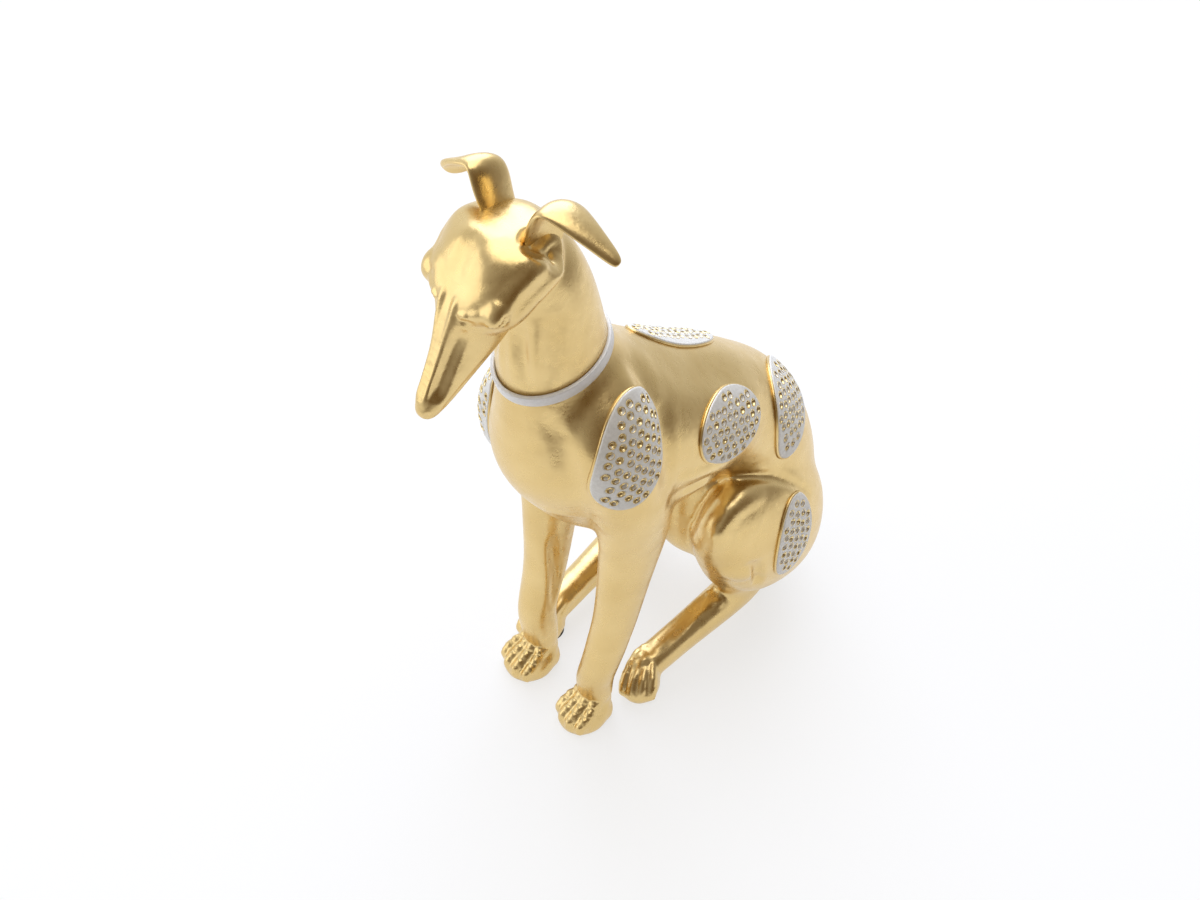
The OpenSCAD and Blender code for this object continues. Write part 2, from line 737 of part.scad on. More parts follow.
body_casting();
head_casting();
ear(left);  // left_ear
ear(right);  // right_ear
collar();
patch(left_shoulder);  // left_shoulder_patch
patch(right_shoulder);  // right_shoulder_patch
patch(left_flank);  // left_flank_patch
patch(right_flank);  // right_flank_patch
patch(withers);  // withers_patch
patch(rump);  // rump_patch
patch(left_thigh);  // left_thigh_patch
patch(right_thigh);  // right_thigh_patch
studs(left_shoulder);  // left_shoulder_studs
studs(right_shoulder);  // right_shoulder_studs
studs(left_flank);  // left_flank_studs
studs(right_flank);  // right_flank_studs
studs(withers);  // withers_studs
studs(rump);  // rump_studs
studs(left_thigh);  // left_thigh_studs
studs(right_thigh);  // right_thigh_studs
pad(front_paw_place(left), paw_pad_diameter);  // left_front_pad
pad(front_paw_place(right), paw_pad_diameter);  // right_front_pad
pad(hind_paw_place(left), paw_pad_diameter);  // left_hind_pad
pad(hind_paw_place(right), paw_pad_diameter);  // right_hind_pad
pad(seat_place, seat_pad_diameter);  // seat_pad
plug();  // filler_plug
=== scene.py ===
# %% [markdown]
# # A seated hound, cast in resin and painted gold
# The object is a mantelpiece ornament: a slim hound that sits with its head lowered, cast hollow in resin,
# sprayed with satin gold and trimmed with silver. The solids of the part are loaded first, as a frame that
# nothing here moves, and every piece below is modelled over the solid it stands for.

# %% Load the frame
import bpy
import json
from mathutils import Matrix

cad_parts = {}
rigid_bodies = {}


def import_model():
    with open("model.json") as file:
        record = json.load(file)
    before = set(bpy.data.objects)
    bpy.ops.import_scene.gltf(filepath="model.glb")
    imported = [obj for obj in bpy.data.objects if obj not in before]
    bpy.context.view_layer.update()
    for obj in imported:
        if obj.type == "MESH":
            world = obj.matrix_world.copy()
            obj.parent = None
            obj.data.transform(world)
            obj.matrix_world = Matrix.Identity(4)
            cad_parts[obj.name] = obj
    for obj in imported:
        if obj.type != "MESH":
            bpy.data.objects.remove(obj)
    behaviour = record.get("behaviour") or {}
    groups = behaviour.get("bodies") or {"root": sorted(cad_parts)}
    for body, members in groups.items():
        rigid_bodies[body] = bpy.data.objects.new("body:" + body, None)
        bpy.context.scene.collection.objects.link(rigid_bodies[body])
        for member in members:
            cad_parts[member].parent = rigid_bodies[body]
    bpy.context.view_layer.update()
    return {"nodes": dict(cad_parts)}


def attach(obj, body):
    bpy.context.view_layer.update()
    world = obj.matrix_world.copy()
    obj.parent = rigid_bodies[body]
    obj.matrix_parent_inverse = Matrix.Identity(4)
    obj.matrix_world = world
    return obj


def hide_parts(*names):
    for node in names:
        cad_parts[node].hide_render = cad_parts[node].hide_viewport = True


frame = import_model()

# %% [markdown]
# ## Tools of the trade
# These helpers do what the hand does again and again: take up a piece, put a modifier on it, join forms, melt
# them into one skin. The sculpture is measured in millimetres, and the scene is in metres.

# %% Hand tools
import json
import math
import bmesh
import bpy
import numpy as np
from mathutils import Euler, Matrix, Vector

MM = 0.001
# where the sculpture's own zero point stands on the floor, in millimetres
STAND = Vector((5.5, -9.0, 0.0))


def place(point):
    """A point of the sculpture in millimetres, as a place in the scene in metres."""
    return (Vector(point) + STAND) * MM


def turned(axis, degrees):
    """A turn about an axis."""
    return Matrix.Rotation(math.radians(degrees), 4, axis)


def start_clean():
    """Object mode, with nothing selected."""
    if bpy.context.mode != "OBJECT":
        bpy.ops.object.mode_set(mode="OBJECT")
    bpy.ops.object.select_all(action="DESELECT")


def take_up(piece):
    """Makes one piece the selected and active one."""
    start_clean()
    piece.select_set(True)
    bpy.context.view_layer.objects.active = piece


def put_on(piece, kind, **settings):
    """Adds a modifier to a piece, sets it and applies it."""
    take_up(piece)
    bpy.ops.object.modifier_add(type=kind)
    modifier = piece.modifiers[-1]
    for name, value in settings.items():
        setattr(modifier, name, value)
    bpy.ops.object.modifier_apply(modifier=modifier.name)


def joined(name, forms):
    """Several forms as one object."""
    start_clean()
    for form in forms:
        form.select_set(True)
    bpy.context.view_layer.objects.active = forms[0]
    bpy.ops.object.join()
    forms[0].name = name
    return forms[0]


# %% Skin tools
def edit_all(piece):
    """Opens a piece for editing, with all of it selected."""
    take_up(piece)
    bpy.ops.object.mode_set(mode="EDIT")
    bpy.ops.mesh.select_all(action="SELECT")


def face_outwards(piece):
    """Turns all the faces of a piece outwards."""
    edit_all(piece)
    bpy.ops.mesh.normals_make_consistent(inside=False)
    bpy.ops.object.mode_set(mode="OBJECT")


def melt(piece, voxel, rounds):
    """Remeshes a piece into one skin with cells of some millimetres, and smooths it for some rounds."""
    put_on(piece, "REMESH", mode="VOXEL", voxel_size=voxel * MM, adaptivity=0)
    put_on(piece, "SMOOTH", factor=0.5, iterations=rounds)


def count_faces(*pieces):
    """Prints how many faces some pieces have."""
    for piece in pieces:
        print(piece.name, "has", len(piece.data.polygons), "faces")


def shade(piece):
    """Lets the light run smoothly over the faces of a piece."""
    take_up(piece)
    bpy.ops.object.shade_smooth()


# %% [markdown]
# ## Rings and skins
# A sculptor builds a dog from a few long forms: a trunk, a neck, a skull, four limbs. Here each is a row of
# cross sections: circles added in edit mode, stretched and leaned as the section says, and bridged into one
# skin. A section may be wider at its top, as a chest is, or squarer than an ellipse, as a muzzle is.

# %% Sections
RING_SIDES = 24
STEPS_PER_ROW = 2


def section(middle, half_width, half_depth, lean, widening=0, squareness=0):
    """One cross section as a row of numbers, in millimetres and degrees. Lean 0 lies level, 90 is upright."""
    return np.array([*middle, half_width, half_depth, lean, widening, squareness], dtype=float)


def span(top, bottom, half_width, widening=0):
    """The section of a form that is the same on both sides, from its top and bottom points (y, z)."""
    rise = (top[0] - bottom[0], top[1] - bottom[1])
    middle = (0, (top[0] + bottom[0]) / 2, (top[1] + bottom[1]) / 2)
    lean = math.degrees(math.atan2(rise[1], rise[0]))
    return section(middle, half_width, math.hypot(*rise) / 2, lean, widening)


def eased(rows):
    """The rows with more of them in between, on a smooth curve through all."""
    rows = np.array(rows)
    last = len(rows) - 1
    result = []
    for count in range(last * STEPS_PER_ROW + 1):
        i = min(count // STEPS_PER_ROW, last - 1)
        t = count / STEPS_PER_ROW - i
        a, b, c, d = rows[max(i - 1, 0)], rows[i], rows[i + 1], rows[min(i + 2, last)]
        result.append(0.5 * (2*b + (c - a)*t + (2*a - 5*b + 4*c - d)*t**2 + (3*b - a - 3*c + d)*t**3))
    return result


# %% Rings and skins
def softened(value, squareness):
    """A sine or cosine pushed towards the corners of a square."""
    return math.copysign(abs(value) ** (1 - squareness), value)


def add_ring(row):
    """Adds a circle to the mesh in edit mode and shapes it as the section says."""
    *middle, half_width, half_depth, lean, widening, squareness = row
    lean = math.radians(lean)
    bpy.ops.mesh.primitive_circle_add(vertices=RING_SIDES, radius=MM, location=place(middle))
    mesh = bmesh.from_edit_mesh(bpy.context.object.data)
    ring = [vert for vert in mesh.verts if vert.select]
    for count, vert in enumerate(ring):
        angle = math.tau * count / RING_SIDES
        across = softened(math.cos(angle), squareness)
        along = softened(math.sin(angle), squareness)
        depth = Vector((0, math.cos(lean), math.sin(lean))) * half_depth * along
        side = Vector((half_width * across * (1 + widening * along), 0, 0))
        vert.co = place(Vector(middle) + side + depth)
    bmesh.update_edit_mesh(bpy.context.object.data)


def select_rings(form, rings):
    """Selects the edges along some of the rings of a form in edit mode."""
    bpy.ops.mesh.select_all(action="DESELECT")
    mesh = bmesh.from_edit_mesh(form.data)
    mesh.verts.index_update()
    for edge in mesh.edges:
        first, second = (vert.index // RING_SIDES for vert in edge.verts)
        if first == second and first in rings:
            edge.select_set(True)


def skin(name, rows):
    """Bridges the rings of a row of sections into a closed, smooth form."""
    start_clean()
    bpy.ops.object.add(type="MESH", location=(0, 0, 0))
    form = bpy.context.object
    form.name = name
    bpy.ops.object.mode_set(mode="EDIT")
    for row in rows:
        add_ring(row)
    last = len(rows) - 1
    for ring in range(last):
        select_rings(form, (ring, ring + 1))
        bpy.ops.mesh.bridge_edge_loops()
    for ring in (0, last):
        select_rings(form, (ring,))
        bpy.ops.mesh.edge_face_add()
    face_outwards(form)
    put_on(form, "SUBSURF", levels=1, render_levels=1)
    return form


# %% [markdown]
# ## The trunk
# The chest is deep and narrow, the loin rises and tucks in, and the back drops steeply to the seat, so
# the sections are given by their top and bottom points in the dog's middle plane, from the collar down.

# %% Trunk
COLLAR_TOP = (-13, 225)
COLLAR_BOTTOM = (-59, 212)
NECK_HALF_WIDTH = 20

trunk_rows = eased([
    span((-14, 229), (-60, 216), NECK_HALF_WIDTH),
    span(COLLAR_TOP, COLLAR_BOTTOM, NECK_HALF_WIDTH),
    span((-3, 210), (-60, 188), 27),
    span((11, 199), (-60, 163), 34.5, -0.02),
    span((27, 186), (-47, 139), 37, 0.08),
    span((41, 177), (-26, 115), 37, 0.16),
    span((56, 167), (2, 112), 36, 0.15),
    span((70, 155), (22, 116), 32, 0.05),
    span((84, 143), (39, 104), 31.5),
    span((97, 124), (48, 80), 31.5),
    span((106, 99), (54, 58), 31.5),
    span((109, 70), (58, 40), 28.5),
    span((104, 40), (62, 22), 24),
    span((95, 16), (64, 9), 17),
    span((91, 1), (66, 0), 16),
])
trunk = skin("trunk", trunk_rows)
# y, height, half width and half depth
LAP = [(46, 112, 16, 16), (46, 92, 19, 19), (46, 63, 19, 19), (51, 51, 18, 14), (58, 37, 15, 8)]
lap = skin("lap", eased([section((0, y, height), *size, 0) for y, height, *size in LAP]))
count_faces(trunk, lap)

# %% [markdown]
# ## The legs
# A front leg starts as the flat mass of the shoulder blade, narrows at the elbow and runs straight down
# to the wrist. The thigh is a broad oval plate that lies against the flank, and the long hind foot runs
# forward along the ground from the hock. Left and right differ a little, because the dog sits unevenly.

# %% Front legs
ELBOW_HEIGHT = 119
ELBOW_SIDE = 25
# side 1 is the dog's left and side -1 its right
SHOULDER_DROP = {1: 0, -1: 12}
SHOULDER_LEAD = {1: 0, -1: 1.5}
FRONT_PAWS = {1: (14.5, -30), -1: (-25, -28)}
# place, share of the shoulder's drop and lead, half width and half depth
BLADE = [((17, -24, 215), 1, 4, 6), ((21, -28, 206), 1, 11, 14), ((25, -29, 190), 1, 14.5, 19),
         ((27, -25, 168), 1, 15, 20), ((28.5, -19, 145), 0.5, 13.3, 18)]
# height, y, half width and half depth, from the elbow down
SHIN = [(119, -15.5, 11.3, 17.5), (96, -18, 10, 14.4), (72, -20.5, 9.2, 11.8), (54, -24, 9.2, 10.4),
        (38, -28, 8.8, 9.4)]
# way behind the paw, height, half width and half depth
WRIST = [(1.5, 24, 8.8, 9), (3, 10, 8.8, 7)]


def front_leg_rows(side, paw):
    """The sections of a front leg, from the shoulder blade down to the wrist, over a paw at (x, y)."""
    drop = SHOULDER_DROP[side]
    lead = SHOULDER_LEAD[side]
    lean = side * ELBOW_SIDE - paw[0]
    blade = [section((side * x, y - lead * share, z - drop * share), *size, 0)
             for (x, y, z), share, *size in BLADE]
    shin = [section((paw[0] + lean * (height / ELBOW_HEIGHT), y, height), *size, 0)
            for height, y, *size in SHIN]
    wrist = [section((paw[0], paw[1] + behind, height), *size, 0) for behind, height, *size in WRIST]
    return blade + shin + wrist


limbs = [skin("front leg", eased(front_leg_rows(side, paw))) for side, paw in FRONT_PAWS.items()]

# %% Thighs and hind feet
HIND_PAWS = {1: (17, -1), -1: (-36, -13)}
HOCKS = {1: (15, 68, 17), -1: (-48, 60, 17)}
KNEE = (25, 31, 82)
HIND_FOOT_HEIGHT = 11
# share of the way from the paw or the knee to the hock, half width and half depth
HIND_FOOT = [(1.17, 6, 7), (1, 8.5, 11), (0.8, 9, 11), (0.6, 8.7, 10), (0.35, 8.2, 9), (0.12, 8.2, 8.6),
             (0, 8, 8)]
SHANK = [(-0.12, 6, 7), (0, 10, 11), (0.3, 11, 14), (0.55, 10.5, 14), (0.8, 9.5, 12), (1, 8, 10)]
# place, half width and half depth of a thigh, from the knee back to the rump
THIGH = [((28, 22, 90), 4, 5), ((28.5, 27, 87), 9, 18), ((28.5, 38, 79), 14, 32), ((28, 52, 72), 16, 38),
         ((27, 68, 67), 16, 40), ((25, 84, 61), 15, 36), ((22, 97, 57), 11, 27), ((18, 104, 56), 5, 13)]


def straight_rows(start, end, lean, sizes):
    """The sections of a straight form, at shares of the way from its start to its end."""
    way = Vector(start)
    return [section(way.lerp(Vector(end), share), *size, lean) for share, *size in sizes]


for side, hock in HOCKS.items():
    knee = (side * KNEE[0], *KNEE[1:])
    paw = (*HIND_PAWS[side], HIND_FOOT_HEIGHT)
    thigh = [section((side * x, y, z), *size, 90) for (x, y, z), *size in THIGH]
    limbs.append(skin("thigh", eased(thigh)))
    limbs.append(skin("shank", eased(straight_rows(knee, hock, 45, SHANK))))
    limbs.append(skin("hind foot", eased(straight_rows(paw, hock, 90, HIND_FOOT))))
print("limbs:", len(limbs))

# %% [markdown]
# ## The tail
# The photograph hides the tail. A seated hound lays it round the haunch, so a tapering rope of resin lies
# on the ground round the right side: a path with a round bevel, thinner towards its tip.

# %% Tail
TAIL_PATH = [(0, 100, 34), (-6, 108, 16), (-18, 111, 8), (-32, 109, 7), (-43, 101, 6), (-49, 92, 6),
             (-51, 84, 5)]
TAIL_RADIUS = 6.5
TAIL_TAPER = 0.6
start_clean()
bpy.ops.curve.primitive_nurbs_path_add(radius=MM, location=(0, 0, 0))
tail = bpy.context.object
spline = tail.data.splines[0]
spline.points.add(len(TAIL_PATH) - len(spline.points))
for count, point in enumerate(TAIL_PATH):
    spline.points[count].co = (*place(point), 1)
    spline.points[count].radius = 1 - TAIL_TAPER * count / (len(TAIL_PATH) - 1)
spline.use_endpoint_u = True
tail.data.bevel_depth = TAIL_RADIUS * MM
tail.data.bevel_resolution = 4
tail.data.use_fill_caps = True
bpy.ops.object.convert(target="MESH")
tail = bpy.context.object
bpy.ops.object.transform_apply()

# %% [markdown]
# ## Paws
# Each paw is a wrist, a sloping pad and a heel with four knobbly toes. A toe is four stretched balls down the
# slope, which the remesh below melts together with the pad. The middle two toes stand a little forward.

# %% Paws
def add_ball(middle, radii, pitch=0, yaw=0):
    """A stretched ball: its half sizes in millimetres, turned down by pitch and round by yaw, in degrees."""
    start_clean()
    turn = Euler((math.radians(pitch), 0, math.radians(yaw)))
    bpy.ops.mesh.primitive_uv_sphere_add(segments=20, ring_count=12, radius=1, location=place(middle),
                                         rotation=turn, scale=[radius * MM for radius in radii])
    ball = bpy.context.object
    bpy.ops.object.transform_apply()
    return ball


def on_paw(paw, x, y, z):
    """A point of a paw that points along -Y before it is turned, in shares of its width and length."""
    spot, yaw, width, length = paw
    return Vector((*spot, 0)) + turned("Z", yaw) @ Vector((x * width, y * length, z))


# place, turn in degrees, width and length of each paw
PAWS = [(FRONT_PAWS[1], -7, 23, 30), (FRONT_PAWS[-1], -7, 25, 31),
        (HIND_PAWS[1], 34, 19, 26), (HIND_PAWS[-1], 4, 20, 27)]
TOES = (-1.5, -0.5, 0.5, 1.5)
MIDDLE_TOE_LEAD = 0.07
# share of the width from toe to toe, share of the length, height, half sizes and pitch
TOE_BALLS = [(0.18, -0.1, 12.5, (2.6, 4, 3), 30), (0.214, -0.21, 10, (2.8, 3.2, 3), 28),
             (0.23, -0.32, 7.4, (2.8, 3.1, 3), 26), (0.23, -0.4, 4.4, (2.5, 2.5, 2.8), 30)]


def toe_lead(toe):
    """How far a toe stands forward, as a share of the paw's length."""
    return MIDDLE_TOE_LEAD if abs(toe) < 1 else 0


def add_paw(paw):
    """The balls of one paw: wrist, pad, heel and toes."""
    yaw, width, length = paw[1:]
    balls = [add_ball(on_paw(paw, 0, 0.06, 11), (0.32 * width, 0.26 * length, 8), 0, yaw),
             add_ball(on_paw(paw, 0, -0.13, 4.5), (0.48 * width, 0.43 * length, 9.5), 26, yaw),
             add_ball(on_paw(paw, 0, 0.05, 4), (0.41 * width, 0.28 * length, 6), 0, yaw)]
    for toe in TOES:
        for x, y, z, radii, pitch in TOE_BALLS:
            balls.append(add_ball(on_paw(paw, x * toe, y - toe_lead(toe), z), radii, pitch, yaw))
    return balls


paws = [ball for paw in PAWS for ball in add_paw(paw)]
print("paw balls:", len(paws))

# %% [markdown]
# ## One casting
# The forms are joined and remeshed into one skin, and the creases where they meet are smoothed as
# a sculptor smooths clay. That would melt the toes too, so the paws join after the first smoothing, and
# a second, finer remesh follows. A bisect then trims the soles flat.

# %% Body casting
FELT_THICKNESS = 1.5
body = joined("body", [trunk, lap, tail] + limbs)
melt(body, voxel=2, rounds=14)
body = joined("gold_body", [body] + paws)
melt(body, voxel=1.5, rounds=2)
edit_all(body)
bpy.ops.mesh.bisect(plane_co=(0, 0, FELT_THICKNESS * MM), plane_no=(0, 0, 1),
                    clear_inner=True, use_fill=True)
shade(body)
count_faces(body)

# %% [markdown]
# ## Neck and head
# The neck rises from the collar and the skull hangs forward from it. The head is modelled level, along
# -Y, with its sections measured ahead of the nape, and then pitched down and turned a little.

# %% Neck
SPIGOT_HALF_WIDTH = NECK_HALF_WIDTH - 0.4
neck_rows = [
    span((-12, 221), (-59, 208), SPIGOT_HALF_WIDTH),
    span(COLLAR_TOP, COLLAR_BOTTOM, SPIGOT_HALF_WIDTH),
    span((-18, 247), (-59, 228), 19.25),
    span((-23, 262), (-58, 241), 18.5),
    span((-31, 277), (-58, 252), 17),
    span((-44, 285), (-62, 264), 13.5),
]
neck = skin("neck", eased(neck_rows))

# %% Head
SKULL_PLACE = Vector((-1.5, -45.5, 297.5))
HEAD_PITCH = 53.5
HEAD_TURN = 0.5
HEAD_TILT = -2.5
head_pose = turned("Z", HEAD_TURN) @ turned("X", HEAD_PITCH) @ turned("Y", HEAD_TILT)


def on_head(across, ahead, up):
    """A point of the level head, as a point of the sculpture."""
    return SKULL_PLACE + head_pose @ Vector((across, -ahead, up))


def pose_head(form):
    """Pitches and turns a form that was made level, and takes it to the place of the skull."""
    to_nape = Matrix.Translation(-place((0, 0, 0)))
    form.data.transform(Matrix.Translation(place(SKULL_PLACE)) @ head_pose @ to_nape)
    return form


# way ahead of the nape, top, bottom, half width and, where they matter, widening and squareness
HEAD = [
    (4, -8, -15, 6.5),
    (7, -1, -18, 13.5, 0.1),
    (13, 8.5, -21, 20, 0.15, 0.1),
    (20, 14.5, -23, 22.3, 0.15, 0.15),
    (30, 14.5, -22, 21, 0.25, 0.2),
    (39, 12.5, -19, 19, 0.4, 0.25),
    (46, 11.5, -18, 13.6, 0.1, 0.2),
    (56, 9.3, -16.5, 9.4, -0.25, 0.15),
    (68, 6.3, -13.2, 7.3, -0.32, 0.12),
    (79, 4, -10, 5.9, -0.3, 0.1),
    (87, 2.2, -7.2, 4.7, -0.2, 0.1),
    (90.5, -0.5, -5, 2.6),
]
head_rows = [section((0, -ahead, (top + bottom) / 2), half_width, (top - bottom) / 2, 90, *form)
             for ahead, top, bottom, half_width, *form in HEAD]
skull = pose_head(skin("skull", eased(head_rows)))

# %% Head casting
head = joined("gold_head", [skull, neck])
melt(head, voxel=1.2, rounds=10)
melt(head, voxel=0.65, rounds=3)
shade(head)
count_faces(head)

# %% [markdown]
# ## The face
# A sculptor finishes the face with a small round tool, which leaves a ridge or a groove along its path. Here
# the points near a path are moved along their normals, most on the path and less towards the tool's edge.
# The paths are measured on the level head, across, ahead and up.

# %% A sculptor's tool
def as_rows(items, field):
    """A field of three numbers of all the items of a mesh, as an array."""
    numbers = np.zeros(len(items) * 3)
    items.foreach_get(field, numbers)
    return numbers.reshape(-1, 3)


def coordinates(piece):
    """The points of a mesh."""
    return as_rows(piece.data.vertices, "co")


def normals_of(piece):
    """The outward directions of a mesh at its points."""
    return as_rows(piece.data.vertex_normals, "vector")


def put_back(piece, points):
    """Writes an array of points back to a mesh."""
    piece.data.vertices.foreach_set("co", points.ravel())
    piece.data.update()


def press(piece, path, radius, height, fade=0):
    """Raises a ridge along a path of sculpture points, or with a negative height draws a groove.
    Fade is the share of the path's length over which the stroke dies away at each end."""
    points = coordinates(piece)
    spots = np.array([place(point) for point in path])
    lengths = np.linalg.norm(np.diff(spots, axis=0), axis=1)
    gone = np.concatenate([[0], np.cumsum(lengths)]) / lengths.sum()
    near = np.full(len(points), np.inf)
    where = np.zeros(len(points))
    for i, along in enumerate(np.diff(spots, axis=0)):
        share = np.clip((points - spots[i]) @ along / (along @ along), 0, 1)
        distance = np.linalg.norm(points - spots[i] - share[:, None] * along, axis=1)
        closer = distance < near
        near[closer] = distance[closer]
        where[closer] = (gone[i] + share * (gone[i + 1] - gone[i]))[closer]
    weight = np.clip(1 - (near / (radius * MM))**2, 0, 1)**2
    if fade:
        weight *= np.sin(np.clip(np.minimum(where, 1 - where) / fade, 0, 1) * math.pi / 2)
    put_back(piece, points + normals_of(piece) * (weight * height * MM)[:, None])


def draw(piece, strokes, sides=(1, -1), spot_of=lambda *spot: spot):
    """Draws strokes, each a name, a path, a radius, a height and a fade, on both sides or on one."""
    for name, path, *tool in strokes:
        for side in sides:
            press(piece, [spot_of(side * x, y, z) for x, y, z in path], *tool)
        print(piece.name, "has its", name)


# %% Face
FACE = [
    ("temple", [(14.5, 19, 12), (18, 25, 10.5), (19.5, 31, 9)], 10, -0.9, 0),
    ("cheek bone", [(18, 13, -6), (19.6, 21, 1), (20, 28, 5), (19, 37, 6.5), (16, 45, 4)], 5.5, 1, 0.2),
    ("jaw", [(18, 14, -15), (20.5, 22, -9), (21, 30, -5), (19, 39, -3), (13.5, 50, -4)], 8, 2.2, 0.2),
    ("brow", [(7, 42, 12.5), (12, 37, 13), (17, 34.5, 11.5)], 6.5, 0.6, 0),
    ("eyeball", [(12.5, 43.5, 9.5), (17.5, 41.5, 7)], 6, 1.1, 0),
    ("fold over the lid", [(8.5, 45, 11), (12.5, 40.5, 12), (17, 37.5, 11), (20.5, 37, 8)], 2.6, -0.4, 0.3),
    ("lid line", [(7.5, 48.6, 9.6), (10, 47.5, 9.6), (14, 46.8, 8.4), (17, 45.5, 5.8), (20, 41.5, 5),
                  (21.5, 37, 6)], 1.7, -1.7, 0.15),
    ("lower lid", [(9, 50.3, 8), (14, 49.4, 5), (18.3, 45.6, 3)], 2.2, 0.8, 0.3),
    ("inner corner", [(7.6, 46, 11), (9, 45.2, 11)], 2.2, 0.9, 0),
    ("bridge edge", [(3.6, 40, 13), (3.8, 50, 11), (3.4, 60, 8.5), (3, 72, 5.5), (2.6, 86, 2.5)],
     2.4, 1.3, 0.15),
    ("side of the muzzle", [(8, 50, 7), (6.6, 60, 4.5), (5.6, 72, 2), (4.6, 82, 0)], 4, -1.6, 0.2),
    ("brow corner", [(19, 38, 8), (19.5, 42.5, 6)], 6, 1.6, 0),
    ("mouth", [(4, 86, -5), (5.6, 78, -6.5), (6.8, 66, -8.5), (8.4, 56, -11)], 1.5, -0.7, 0.2),
    ("nostril", [(2.7, 89, -1.6), (3.6, 87.5, -1.2)], 1.4, -0.7, 0),
]
forehead = [on_head(0, 17, 15), on_head(0, 26, 15), on_head(0, 36, 14)]
draw(head, FACE, spot_of=on_head)
press(head, forehead, radius=6, height=-0.6, fade=0.3)

# %% Throat
THROAT = [
    ("windpipe", [(3, -57.8, 246), (4, -58, 232), (5, -58, 216)], 5, 0.5, 0.5),
    ("furrow beside the windpipe", [(7.3, -55.5, 252), (7.2, -56.2, 238), (8, -56.5, 218)], 5.5, -1.3, 0.5),
    ("fold of the throat", [(12.2, -53.6, 254), (11.8, -53.9, 238), (12, -53.6, 220)], 5, 1.1, 0.5),
    ("furrow beside the fold", [(15.3, -49, 256), (15.3, -49, 238), (15.6, -49.8, 218)], 6, -1.2, 0.5),
]
draw(head, THROAT)
put_on(head, "SMOOTH", factor=0.5, iterations=1)

# %% [markdown]
# ## Ears
# The ears are thin leaves, folded over halfway as a hound's are: the leaf rises from the skull, bends over
# a crest and falls outwards to a soft tip. A leaf is a grid of a few points, moved one by one to their
# places, four across and eight along, given a wall by Solidify and rounded by Subdivision Surface. The left
# leaf is longer and swept back, the right one is short and hangs. Under the left fold the skull has a hollow.

# %% Ears
EAR_WALL = 2.6
LEFT_LEAF = [
    [(9, -55, 283), (7, -51, 281), (8, -45, 279), (11, -40, 279)],
    [(12, -57.5, 292), (9.5, -52, 289), (10, -45, 287), (13, -40, 285)],
    [(15, -58, 299), (11.5, -52, 297), (11.5, -45, 296), (14, -39, 293)],
    [(17, -57, 304), (14.5, -51, 303.5), (14, -45, 303), (16, -38.5, 298)],
    [(20.5, -55.5, 305.5), (19, -50, 306.5), (18.5, -44, 306), (20, -37.5, 300.5)],
    [(29, -51.5, 300), (28.5, -47.5, 302), (28, -43, 301.5), (28.5, -38.5, 298)],
    [(36, -47, 294.5), (36, -44.5, 296.5), (36, -42, 296.5), (35.5, -39, 294.5)],
    [(42.5, -43.5, 290), (43.5, -42.5, 291), (43.5, -41.5, 291.5), (42.5, -40, 291.5)],
]
RIGHT_LEAF = [
    [(-9, -55, 283), (-7, -51, 281), (-8, -45, 279), (-11, -40, 279)],
    [(-13, -58, 293), (-10.5, -52, 290), (-11, -46, 288.5), (-13.5, -41, 288)],
    [(-15.5, -58, 300), (-13, -52, 299), (-13, -46, 297.5), (-14.5, -41, 294.5)],
    [(-17.5, -57.5, 304.5), (-16, -52, 305), (-15.5, -46, 303.5), (-16.5, -41, 299)],
    [(-20.5, -57, 304.5), (-20.5, -52, 306), (-20, -46.5, 305), (-20, -41.5, 301)],
    [(-25, -57.5, 303), (-26, -53.5, 302), (-26, -49, 299.5), (-25.5, -45.5, 296)],
    [(-30.5, -57, 300.5), (-32, -54.5, 298.5), (-32, -52, 295), (-30.5, -50, 291.5)],
    [(-34, -56.5, 297), (-35.5, -55.5, 295.5), (-35.5, -54.5, 293.5), (-34, -53.5, 292)],
]


def add_ear(name, leaf):
    """One ear: a grid moved to the points of its leaf, with a wall."""
    start_clean()
    across = len(leaf[0])
    bpy.ops.mesh.primitive_grid_add(x_subdivisions=across - 1, y_subdivisions=len(leaf) - 1,
                                    size=1, location=(0, 0, 0))
    ear = bpy.context.object
    ear.name = name
    for count, vert in enumerate(ear.data.vertices):
        vert.co = place(leaf[count // across][count % across])
    face_outwards(ear)
    put_on(ear, "SOLIDIFY", thickness=EAR_WALL * MM, offset=0, use_even_offset=True)
    put_on(ear, "SUBSURF", levels=3, render_levels=3)
    shade(ear)
    return ear


left_ear = add_ear("gold_left_ear", LEFT_LEAF)
right_ear = add_ear("gold_right_ear", RIGHT_LEAF)
hollow_rim = [(11.5, -58.5, 291), (15, -55.5, 284), (19, -48, 279)]
press(head, [(13.5, -53, 289), (17, -48, 283)], radius=8, height=-5)
press(head, hollow_rim, radius=3, height=1, fade=0.3)
count_faces(left_ear, right_ear)

# %% [markdown]
# ## Muscles, folds and toes
# The same tool draws the body: the edge of the shoulder, the fold where the flank tucks behind the elbow,
# the rim of the thigh, the calf and the tendons of the feet. What lies on both sides is drawn twice.

